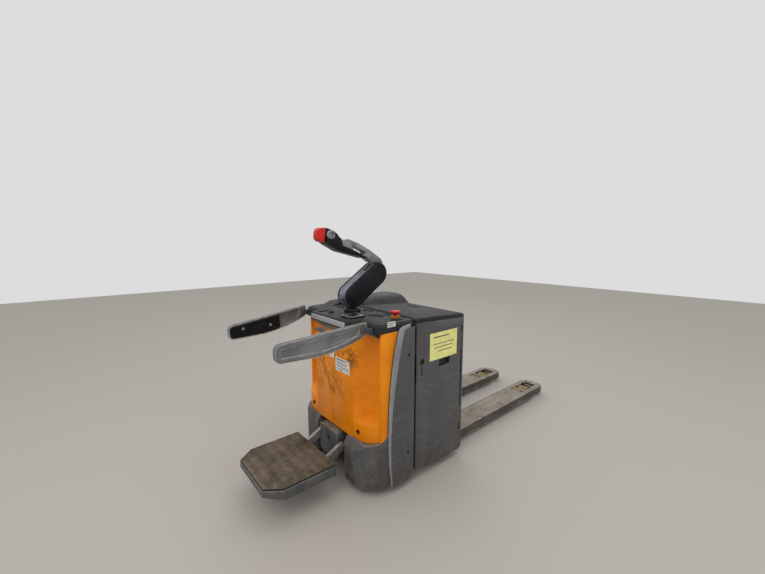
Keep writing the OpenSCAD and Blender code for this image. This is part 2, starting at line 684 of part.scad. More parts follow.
module battery_lid() color("#3b3c40") truck() difference() {
  union() {
    side_slab([[box_y0 - 3, box_top + 1], [box_y1, box_top - lid_drop + 1],
               [box_y1, box_top - lid_drop + 14], [box_y1 - 14, box_top - lid_drop + lid_t],
               [box_y0 + 10, box_top + lid_t], [box_y0 - 3, box_top + lid_t - 8]], -half_w + 1, half_w - 1);
    // hump over the charging lead
    front_slab(concat([[-70, box_top - 10]],
      bez([-85, box_top + 2], [-135, box_top + 34], [-145, box_top + 58], [-215, box_top + 58], 8),
      [[-half_w + 24, box_top + 55], [-half_w + 9, box_top + 42], [-half_w + 9, box_top - 10]]),
      box_y0 + 30, box_y1 - 6);
  }
  // hollow underside
  side_slab([[box_y0 + 12, box_top - 30], [box_y1 - 12, box_top - 30], [box_y1 - 12, box_top - lid_drop + lid_t - 9],
             [box_y0 + 12, box_top + lid_t - 8]], -half_w + 14, half_w - 14);
  front_slab(concat([[-77, box_top - 60]],
    bez([-97, box_top - 4], [-141, box_top + 26], [-151, box_top + 50], [-215, box_top + 50], 8),
    [[-half_w + 26, box_top + 47], [-half_w + 14, box_top + 38], [-half_w + 14, box_top - 60]]),
    box_y0 + 38, box_y1 - 14);
  // grab slot
  box(0, 96, box_y1 - 122, box_y1 - 100, box_top - 40, box_top + 60);
}

module battery_door() color("#565759") truck() difference() {
  x0 = half_w - 7;
  y0 = box_y0 + 170;
  z0 = door_z0 + 430;
  union() {
    side_slab(rrect(door_y0, door_z0, door_y1, door_z0 + door_h, 14), x0, half_w);
    box(x0 - 18, x0 + 1, y0 - 6, y0 + 104, z0 - 6, z0 + 46);
    // hinge barrels
    for (z = hinge_zs) {
      zcyl(5, z, z + hinge_h, door_hinge[0], door_hinge[1]);
      box(door_hinge[0] - 2, door_hinge[0] + 5, door_y1 - 16, door_hinge[1], z, z + hinge_h);
    }
  }
  side_slab([[y0, z0], [y0 + 92, z0], [y0 + 98, z0 + 40], [y0 + 6, z0 + 40]], x0 - 14, half_w + 1);
}

module door_lock() color("#1c1d1f") truck() {
  y = box_y0 + 42;
  xcyl(17, half_w - box_t, half_w - 2, y, 655);
  box(half_w - box_t - 5, half_w - box_t, y - 8, y + 30, 648, 662);
}

module fork(s) color("#8c8273") truck() on_side(s) difference() {
  x0 = fork_x - fork_w / 2;
  x1 = fork_x + fork_w / 2;
  ty = tip_y - 88;
  plan = concat([[x0, box_y1], [x0, ty]], bez([x0, ty], [x0, ty + 56], [x0 + 34, tip_y], [fork_x, tip_y], 8),
                bez([fork_x, tip_y], [x1 - 34, tip_y], [x1, ty + 56], [x1, ty], 8), [[x1, box_y1]]);
  slab(plan, fork_low, fork_top_z);
  // hollow underside with ribs for the push rod
  difference() {
    box(x0 + fork_t, x1 - fork_t, box_y1 + 12, ty - 6, fork_low - 1, fork_top_z - fork_t);
    for (y = [box_y1 + 110, box_y1 + 450, load_piv_y - 60])
      box(x0, x1, y, y + 8, rod_z - 20, fork_top_z);
  }
  ycyl(10 + run, box_y1 - 1, load_piv_y - 30, fork_x, rod_z);
  // roller windows and grease holes
  slab(rrect(fork_x - roller_w / 2 - 10, roller_y1 - 67, fork_x + roller_w / 2 + 12, ty + 4, 6), 60, 100);
  slab(rrect(fork_x - roller_w / 2 - 10, roller_y2 - 30, fork_x + roller_w / 2 + 12, roller_y2 + 22, 6), 60, 100);
  for (x = [-48, 34]) zcyl(6, 60, 100, fork_x + x, roller_y2 - 45);
  // nose slopes up below and down above
  side_slab([[tip_y + 1, fork_low - 1], [tip_y + 1, fork_low + 22], [ty, fork_low - 1]], x0 - 1, x1 + 1);
  side_slab([[tip_y + 1, fork_top_z + 1], [tip_y + 1, fork_top_z - 14], [ty - 10, fork_top_z + 1]], x0 - 1, x1 + 1);
  // pivot of the load arm
  xcyl(10 + run, x0 - 1, x1 + 1, load_piv_y, load_piv_z);
}
module fork_right() fork(1);
module fork_left() fork(-1);

module load_arms() color("#55585b") truck() each_side() {
  x0 = fork_x - fork_w / 2;
  x1 = fork_x + fork_w / 2;
  xcyl(10, x0 + 1, x1 - 1, load_piv_y, load_piv_z);
  for (x = [fork_x - 62, fork_x + 56]) difference() {
    union() {
      side_slab([[load_piv_y, load_piv_z + 15], [load_piv_y, load_piv_z - 15],
                 [bogie_y, bogie_z - 14], [bogie_y, bogie_z + 14]], x, x + 6);
      xcyl(15, x, x + 6, load_piv_y, load_piv_z);
      xcyl(14, x, x + 6, bogie_y, bogie_z);
    }
    xcyl(9 + run, x - 1, x + 7, bogie_y, bogie_z);
  }
  // cross member
  box(fork_x - 60, fork_x + 60, load_piv_y - 8, load_piv_y + 34, load_piv_z - 12, load_piv_z + 8);
}

module bogies() color("#6a6d70") truck() each_side() {
  for (x = [fork_x - 54, fork_x + 48]) {
    side_slab([[roller_y2 - 16, roller_r - 8], [roller_y2 - 16, roller_r + 8], [roller_y2 - 8, roller_r + 15],
               [roller_y1 + 8, roller_r + 15], [roller_y1 + 16, roller_r + 8], [roller_y1 + 16, roller_r - 8],
               [roller_y1 + 8, roller_r - 15], [roller_y2 - 8, roller_r - 15]], x, x + 6);
  }
  xcyl(9, fork_x - 62, fork_x + 62, bogie_y, bogie_z);
  for (y = [roller_y1, roller_y2]) xcyl(9, fork_x - 54, fork_x + 54, y, roller_r);
}

module push_rods() color("#b4b6b8") truck() each_side() {
  ycyl(10, box_y1 + 30, load_piv_y - 34, fork_x, rod_z);
}

module roller(s, y) color("#a88a5c") truck() on_side(s) difference() {
  xcyl(roller_r, fork_x - roller_w / 2, fork_x + roller_w / 2, y, roller_r);
  xcyl(9 + run, fork_x - roller_w, fork_x + roller_w, y, roller_r);
}
module roller_right_front() roller(1, roller_y1);
module roller_right_rear() roller(1, roller_y2);
module roller_left_front() roller(-1, roller_y1);
module roller_left_rear() roller(-1, roller_y2);

module piston_rod() color("#c9cbcd") truck() zcyl(14, plate_top + 24, ram_z, cyl_x, cyl_y);

chassis_frame();
castor_carriers();
side_plate_right();
side_plate_left();
pillar_trims();
skirt_right();
skirt_left();
hinge_block();
motor_hood();
deck_cover();
deck_strip();
display_panel();
panel_bolts();
arm_brackets();
estop_base();
estop_button();
platform_tray();
platform_mat();
platform_hinge();
arm_right();
arm_left();
arm_pad_right();
arm_pad_left();
drive_gearbox();
drive_motor();
steering_column();
drive_hub();
drive_tyre();
castor_fork_right();
castor_fork_left();
castor_wheel_right();
castor_wheel_left();
tiller_turret();
tiller_link();
link_covers();
handle_frame();
grip_body();
belly_button();
thumb_wheel();
lift_button();
horn_button();
pump_unit();
motor_controller();
lift_cylinder();
piston_rod();
battery_box();
battery();
battery_lid();
battery_door();
door_lock();
fork_right();
fork_left();
load_arms();
bogies();
push_rods();
roller_right_front();
roller_right_rear();
roller_left_front();
roller_left_rear();
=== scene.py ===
"""Builds the looks of an electric stand-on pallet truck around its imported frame."""

import json
import math

import bmesh
import bpy
from bpy.props import FloatProperty, FloatVectorProperty, IntProperty, PointerProperty
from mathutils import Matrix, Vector

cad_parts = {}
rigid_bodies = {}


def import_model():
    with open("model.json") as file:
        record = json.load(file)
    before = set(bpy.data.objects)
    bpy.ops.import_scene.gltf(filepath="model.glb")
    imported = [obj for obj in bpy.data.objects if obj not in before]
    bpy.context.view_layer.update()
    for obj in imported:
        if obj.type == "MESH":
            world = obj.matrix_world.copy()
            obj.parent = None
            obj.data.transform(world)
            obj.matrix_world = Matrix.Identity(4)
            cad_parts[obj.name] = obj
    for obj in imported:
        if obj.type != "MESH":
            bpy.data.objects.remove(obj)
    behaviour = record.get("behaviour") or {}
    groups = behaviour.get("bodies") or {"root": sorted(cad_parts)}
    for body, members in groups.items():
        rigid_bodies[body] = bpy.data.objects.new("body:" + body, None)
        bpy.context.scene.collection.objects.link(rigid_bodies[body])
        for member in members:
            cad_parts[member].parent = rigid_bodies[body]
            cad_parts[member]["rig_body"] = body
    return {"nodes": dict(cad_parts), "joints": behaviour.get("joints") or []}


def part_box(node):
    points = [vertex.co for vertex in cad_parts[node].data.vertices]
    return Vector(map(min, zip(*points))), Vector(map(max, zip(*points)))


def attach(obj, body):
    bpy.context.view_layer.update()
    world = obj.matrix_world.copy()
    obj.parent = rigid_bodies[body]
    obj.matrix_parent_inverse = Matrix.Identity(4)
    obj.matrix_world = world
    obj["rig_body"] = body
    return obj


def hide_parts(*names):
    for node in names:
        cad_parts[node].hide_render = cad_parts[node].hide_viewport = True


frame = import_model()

bl_info = {
    "name": "Stand-on Pallet Truck",
    "version": (1, 0, 0),
    "blender": (4, 5, 0),
    "location": "View3D > Sidebar > Truck",
    "description": "Bodywork, pads, mat, screws, labels and finishes of an electric pallet truck",
    "category": "Object",
}

RIGHT, LEFT = 1, -1
MM = 0.001
X_AXIS, Y_AXIS, Z_AXIS = Vector((1, 0, 0)), Vector((0, 1, 0)), Vector((0, 0, 1))
PATTERN_SHIFT = 1.37  # moves each pattern away from the one before it, so that no two line up
EDGE_FLAT, EDGE_SHARP = 0.9992, 0.97  # how far a rounded normal agrees with the face beside an edge and on it
COVER_RADIUS = 0.047  # ends of the rims on the tiller's covers
PAD_VOXEL = 0.003
PAD_CROWN = 1.4 * MM  # how far the middle of a pad stands proud of its ends
MAT_MARGIN = 0.012  # from the mat's edge to its ribs
MAT_CUT_DEPTH, MAT_CUT_WIDTH = 0.064, 0.088  # what the mat's cut front corners take off the ribs
CAMERA_PLACE, CAMERA_LENS = (1.5864, -1.7111, 1.2798), 16.617
CAMERA_DIP, CAMERA_TURN = 7.3257, 49.8163  # degrees down from level, and round from looking along Y
LIT_SPOT = Vector((0, -0.2, 0.6))
LIGHTS = (  # name, place, side in metres, watts
    ("key_light", (1.2, -3.4, 3.8), 2.6, 44),
    ("fill_light", (4.2, 0.4, 2.6), 2.6, 20),
    ("back_light", (-3.4, 2.6, 3.6), 2.4, 20),
    ("top_light", (0, 0, 4.6), 3.2, 30),
)
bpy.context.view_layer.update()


# ---------------------------------------------------------------- places taken from the frame

def pivot(joint):
    """Point on a joint's axis, in the row frame."""
    return Vector(next(j["pos_m"] for j in frame["joints"] if j["name"] == joint))


def body_of(node):
    return frame["nodes"][node]["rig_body"]


def side_name(side):
    return "right" if side == RIGHT else "left"


# ---------------------------------------------------------------- finishes

def tint(red, green, blue):
    """Linear colour of a display colour given from 0 to 255."""
    return tuple(((c / 255 + 0.055) / 1.055) ** 2.4 if c > 10 else c / 255 / 12.92 for c in (red, green, blue)) + (1,)


def level(value):
    """A roughness as a colour, for mixing."""
    return value, value, value, 1


class Nodes:
    """A node tree whose sockets are joined or filled by what they are given."""

    def __init__(self, tree):
        self.tree = tree

    def put(self, value, socket):
        if isinstance(value, bpy.types.NodeSocket):
            self.tree.links.new(value, socket)
        else:
            socket.default_value = value


class Finish(Nodes):
    """A material with short ways to add the nodes that make its pattern."""

    def __init__(self, name):
        self.material = bpy.data.materials.new(name)
        self.material.use_nodes = True
        super().__init__(self.material.node_tree)
        self.shader = self.tree.nodes["Principled BSDF"]
        coordinates = self.add("ShaderNodeTexCoord")
        self.place = coordinates.outputs["Object"]
        self.facing = coordinates.outputs["Normal"]
        self.seed = 0

    def add(self, kind, **settings):
        node = self.tree.nodes.new(kind)
        for key, value in settings.items():
            setattr(node, key, value)
        return node

    def sum(self, operation, first, second=0.0):
        node = self.add("ShaderNodeMath", operation=operation)
        for value, socket in zip((first, second), node.inputs):
            self.put(value, socket)
        return node.outputs[0]

    def times(self, *values):
        result = values[0]
        for value in values[1:]:
            result = self.sum("MULTIPLY", result, value)
        return result

    def step(self, value, start, end, low=0.0, high=1.0):
        """Smooth change from low to high while value runs from start to end."""
        node = self.add("ShaderNodeMapRange", interpolation_type="SMOOTHSTEP")
        names = ("Value", "From Min", "From Max", "To Min", "To Max")
        for given, name in zip((value, start, end, low, high), names):
            self.put(given, node.inputs[name])
        return node.outputs[0]

    def axis(self, index):
        node = self.add("ShaderNodeSeparateXYZ")
        self.put(self.place, node.inputs[0])
        return node.outputs[index]

    def up(self):
        """1 on faces that look up, 0 on the others."""
        node = self.add("ShaderNodeSeparateXYZ")
        self.put(self.facing, node.inputs[0])
        return self.step(node.outputs[2], 0.55, 0.9)

    def stretched(self, stretch=(1, 1, 1), turn=(0, 0, 0)):
        """Places turned and stretched, and moved on from those of the pattern before."""
        self.seed += 1
        node = self.add("ShaderNodeMapping", vector_type="TEXTURE")
        self.put(self.place, node.inputs["Vector"])
        node.inputs["Scale"].default_value = [1 / s for s in stretch]
        node.inputs["Rotation"].default_value = [math.radians(a) for a in turn]
        node.inputs["Location"].default_value = [self.seed * PATTERN_SHIFT] * 3
        return node.outputs[0]

    def noise(self, scale, detail=4.0, rough=0.55, **mapping):
        node = self.add("ShaderNodeTexNoise")
        self.put(self.stretched(**mapping), node.inputs["Vector"])
        node.inputs["Scale"].default_value = scale
        node.inputs["Detail"].default_value = detail
        node.inputs["Roughness"].default_value = rough
        return node.outputs["Fac"]

    def blotches(self, start, end, *pattern, **mapping):
        """Noise turned to 1 past end and 0 under start."""
        return self.step(self.noise(*pattern, **mapping), start, end)

    def cells(self, scale, **mapping):
        node = self.add("ShaderNodeTexVoronoi")
        self.put(self.stretched(**mapping), node.inputs["Vector"])
        node.inputs["Scale"].default_value = scale
        return node.outputs["Distance"]

    def streaks(self, scale, turn, amount=0.5, thin=22.0):
        """Fine lines that run along one direction and come and go."""
        lines = self.noise(scale, 3.0, 0.6, stretch=(thin, thin, 0.35), turn=turn)
        patches = self.noise(scale * 0.55, 2.0, 0.5)
        return self.times(self.step(lines, 0.66 - 0.1 * amount, 0.72 - 0.06 * amount), self.step(patches, 0.4, 0.6))

    def edges(self, width):
        """1 along edges, 0 away from them."""
        bevel = self.add("ShaderNodeBevel", samples=6)
        bevel.inputs["Radius"].default_value = width
        flat = self.add("ShaderNodeNewGeometry")
        dot = self.add("ShaderNodeVectorMath", operation="DOT_PRODUCT")
        self.put(bevel.outputs[0], dot.inputs[0])
        self.put(flat.outputs["Normal"], dot.inputs[1])
        return self.step(dot.outputs["Value"], EDGE_FLAT, EDGE_SHARP)

    def mix(self, share, first, second):
        node = self.add("ShaderNodeMix", data_type="RGBA")
        self.put(share, node.inputs[0])
        self.put(first, node.inputs[6])
        self.put(second, node.inputs[7])
        return node.outputs[2]

    def coat(self, share, colour, roughness, paint, matt):
        """Colour and roughness where a share of the surface lies under another paint."""
        return self.mix(share, colour, paint), self.mix(share, roughness, level(matt))

    def bump(self, height, strength, distance):
        node = self.add("ShaderNodeBump")
        node.inputs["Strength"].default_value = strength
        node.inputs["Distance"].default_value = distance
        self.put(height, node.inputs["Height"])
        if self.shader.inputs["Normal"].is_linked:
            self.put(self.shader.inputs["Normal"].links[0].from_socket, node.inputs["Normal"])
        self.put(node.outputs[0], self.shader.inputs["Normal"])

    def set(self, **values):
        for name, value in values.items():
            self.put(value, self.shader.inputs[name.replace("_", " ")])


def worn(name, base, dark, rough=0.45, spread=0.2, wear=None, wear_width=3 * MM, wear_amount=0.7, scratch=None,
         scratch_amount=0.5, scratch_turn=(28, 0, 0), scratch_scale=9.0, grime=None, grime_top=0.4, grime_amount=0.8,
         dust=None, dust_amount=0.6, grain=0.0, grain_scale=900.0, specks=None, metallic=0.0, gloss=0.35,
         tone_scale=7.0, marks=()):
    """A painted, cast or moulded surface with tone changes, edge wear, scratches, low dirt and dust on top, which on
    the dark parts is also a painted sheen of the sky.
    """
    finish = Finish(name)
    broad = finish.noise(tone_scale, 5.0, 0.6)
    fine = finish.noise(tone_scale * 12, 4.0, 0.6)
    colour = finish.mix(finish.step(broad, 0.35, 0.68), base, dark)
    roughness = finish.step(fine, 0.3, 0.7, max(0.05, rough - spread / 2), min(1.0, rough + spread / 2))
    height = finish.times(fine, 0.4)
    for mark in marks:
        colour, roughness = mark(finish, colour, roughness)
    if scratch:
        lines = finish.times(finish.streaks(scratch_scale, scratch_turn, scratch_amount), scratch_amount)
        other = finish.streaks(scratch_scale * 1.9, [a - 47 for a in scratch_turn], scratch_amount * 0.6)
        lines = finish.sum("MAXIMUM", lines, finish.times(other, scratch_amount * 0.7))
        colour = finish.mix(lines, colour, scratch)
        height = finish.sum("SUBTRACT", height, finish.times(lines, 0.5))
    if specks:
        spots = finish.times(finish.step(finish.cells(170.0), 0.2, 0.12), finish.step(fine, 0.5, 0.62))
        colour = finish.mix(finish.times(spots, 0.8), colour, specks)
    if wear:
        patches = finish.blotches(0.36, 0.6, 28.0, 5.0, 0.65)
        rubbed = finish.times(finish.edges(wear_width), patches, wear_amount)
        colour = finish.mix(rubbed, colour, wear)
        roughness = finish.mix(finish.times(rubbed, 0.6), roughness, level(0.38))
    if grime:
        fall = finish.step(finish.axis(2), grime_top, grime_top * 0.12)
        patches = finish.blotches(0.36, 0.66, 10.0, 6.0, 0.65, stretch=(1, 1, 0.4))
        dirt = finish.times(fall, patches, grime_amount)
        colour, roughness = finish.coat(dirt, colour, roughness, grime, 0.85)
    # dust on what faces up; on the dark parts this lighter top is partly a painted sheen of the sky
    if dust:
        cover = finish.times(finish.up(), finish.blotches(0.3, 0.62, 16.0, 6.0, 0.7), dust_amount)
        colour, roughness = finish.coat(cover, colour, roughness, dust, 0.9)
    finish.set(Base_Color=colour, Roughness=roughness, Metallic=metallic, Specular_IOR_Level=gloss)
    finish.bump(height, 0.12, 0.6 * MM)
    if grain:
        finish.bump(finish.cells(grain_scale), grain, 0.25 * MM)
    return finish.material


def scuffs(finish, colour, roughness):
    """Dark rubs on the middle of the hood and at knee height beside it, slanting scratches and chips."""
    x, z = finish.axis(0), finish.axis(2)
    panel = finish.times(finish.step(x, -0.2, -0.12), finish.step(x, 0.16, 0.02), finish.step(z, 0.42, 0.5),
                         finish.step(z, 0.82, 0.7))
    drag = finish.noise(9.0, 7.0, 0.76, stretch=(1.8, 1, 0.7), turn=(0, -34, 0))
    marks = finish.times(panel, finish.step(drag, 0.42, 0.62))
    knee = finish.add("ShaderNodeVectorMath", operation="DISTANCE")
    finish.put(finish.place, knee.inputs[0])
    knee.inputs[1].default_value = (0.15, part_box("motor_hood")[0].y, 0.7)
    rub = finish.times(finish.step(knee.outputs["Value"], 0.1, 0.02),
                       finish.blotches(0.42, 0.6, 24.0, 5.0, 0.7))
    lines = finish.streaks(8.0, (0, -38, 0), 0.8, 30.0)
    total = finish.sum("MAXIMUM", finish.times(marks, 0.85), finish.times(rub, 0.85))
    total = finish.sum("MAXIMUM", total, finish.times(lines, finish.step(z, 0.35, 0.5), 0.5))
    chips = finish.times(finish.step(finish.cells(80.0), 0.2, 0.14), finish.blotches(0.46, 0.58, 9.0))
    total = finish.sum("MAXIMUM", total, finish.times(chips, 0.85))
    return finish.coat(total, colour, roughness, tint(84, 56, 26), 0.7)


def run_marks(finish, colour, roughness):
    """Brownish marks that run down a grey wall."""
    runs = finish.noise(9.0, 5.0, 0.6, stretch=(2.4, 2.4, 0.5))
    stain = finish.times(finish.step(runs, 0.48, 0.66), 0.55)
    return finish.coat(stain, colour, roughness, tint(78, 66, 54), 0.75)


def hair_scratches(finish, colour, roughness):
    """Long fine scratches that lean a little, dark smears, and chips of hood paint near the top."""
    total = 0.0
    for lean, thin in ((86, 30.0), (98, 36.0), (66, 26.0)):
        total = finish.sum("MAXIMUM", total, finish.streaks(7.0, (lean, 0, 0), 0.55, thin))
    colour = finish.mix(finish.times(total, 0.42), colour, tint(142, 140, 136))
    smears = finish.blotches(0.5, 0.72, 5.0, 5.0, 0.65, stretch=(1, 0.5, 1.6), turn=(20, 0, 0))
    colour = finish.mix(finish.times(smears, 0.3), colour, tint(60, 58, 56))
    high = finish.step(finish.axis(2), 0.66, 0.8)
    flecks = finish.times(high, finish.blotches(0.66, 0.7, 46.0, 3.0, 0.6, stretch=(1, 0.6, 1.8)),
                          finish.blotches(0.5, 0.6, 6.0))
    return finish.mix(finish.times(flecks, 0.75), colour, tint(176, 116, 40)), roughness


def door_hollow(finish, colour, roughness):
    """Black shade in the hollow of the battery door."""
    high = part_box("battery_door")[1]
    wall, level = finish.axis(0), finish.axis(2)
    hollow = finish.times(finish.step(wall, high.x - 2 * MM, high.x - 4 * MM), finish.step(wall, 0.3, 0.31),
                          finish.step(level, 0.54, 0.56), finish.step(level, 0.7, 0.68),
                          finish.step(finish.axis(1), high.y - 0.03, high.y - 0.04))
    return finish.mix(finish.times(hollow, 0.9), colour, tint(22, 22, 23)), roughness


def deck_hollows(finish, colour, roughness):
    """Black shade in the deck's pockets and light worn patches on its ridges."""
    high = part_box("deck_cover")[1]
    sunk = finish.times(finish.step(finish.axis(2), high.z - 5 * MM, high.z - 8 * MM), finish.up())
    worn_patch = finish.times(finish.up(), finish.blotches(0.54, 0.7, 7.0, 6.0, 0.7), 0.35)
    colour = finish.mix(worn_patch, colour, tint(96, 92, 84))
    return finish.mix(finish.times(sunk, 0.6), colour, tint(18, 18, 19)), roughness


def root_dirt(finish, colour, roughness):
    """Brown dirt that gathers where the guard arms leave the hood."""
    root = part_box("arm_right")[1].y
    near = finish.step(finish.axis(1), root - 0.17, root - 0.02)
    stain = finish.times(near, finish.blotches(0.36, 0.62, 16.0, 6.0, 0.7), 0.7)
    return finish.mix(stain, colour, tint(86, 70, 52)), roughness


def remnants(finish, colour, roughness):
    """Ragged hood paint that is left between the rubbed patches of the worn band."""
    left_over = finish.blotches(0.49, 0.55, 20.0, 7.0, 0.74, stretch=(0.8, 1, 1.3))
    return finish.mix(left_over, colour, tint(206, 116, 12)), roughness


def rust_marks(finish, colour, roughness):
    """Rust that comes through in patches."""
    patch = finish.blotches(0.5, 0.64, 13.0, 7.0, 0.7)
    colour = finish.mix(finish.times(patch, 0.8), colour, tint(104, 58, 26))
    return colour, finish.mix(patch, roughness, level(0.9))


def track_marks_and_flank_shade(finish, colour, roughness):
    """Long bright rubs on top of the forks, dark stains, and painted shade on the flanks."""
    rubs = finish.noise(6.0, 6.0, 0.7, stretch=(5.0, 0.35, 1))
    stains = finish.noise(5.0, 6.0, 0.65)
    colour = finish.mix(finish.times(finish.step(stains, 0.5, 0.66), 0.65), colour, tint(86, 76, 62))
    bright = finish.times(finish.step(rubs, 0.56, 0.66), finish.up(), 0.6)
    # painted shade: every face that does not look up is darkened
    painted_flank_shade = finish.sum("SUBTRACT", 1.0, finish.up())
    colour = finish.mix(bright, colour, tint(190, 184, 172))
    return finish.mix(finish.times(painted_flank_shade, 0.8), colour, tint(58, 54, 50)), roughness


def footprints(finish, colour, roughness):
    """Trodden gritty dust in faint bands, on what faces up."""
    tread = finish.times(finish.blotches(0.24, 0.7, 7.0, 9.0, 0.8), finish.up())
    grit = finish.step(finish.noise(120.0, 4.0, 0.8), 0.44, 0.6, 0.7, 1.0)
    tread = finish.times(tread, grit)
    bands = finish.sum("SINE", finish.times(finish.axis(1), 2 * math.pi / 0.05))
    tread = finish.times(tread, finish.step(bands, -1.0, 1.0, 0.72, 1.0))
    colour = finish.mix(finish.times(tread, 0.85), colour, tint(150, 134, 112))
    return colour, finish.mix(tread, roughness, level(0.95))


# Display colours that several finishes share
DUST = (118, 112, 104)
SOIL = (74, 62, 50)
BARE = (176, 176, 176)
# painted sky sheen: the grey put on the tops of the dark parts is partly dust and partly a painted reflection of the
# sky
DUST_AND_SKY_SHEEN = (92, 90, 88)
PAINTED = {"base", "dark", "wear", "scratch", "grime", "dust", "specks"}


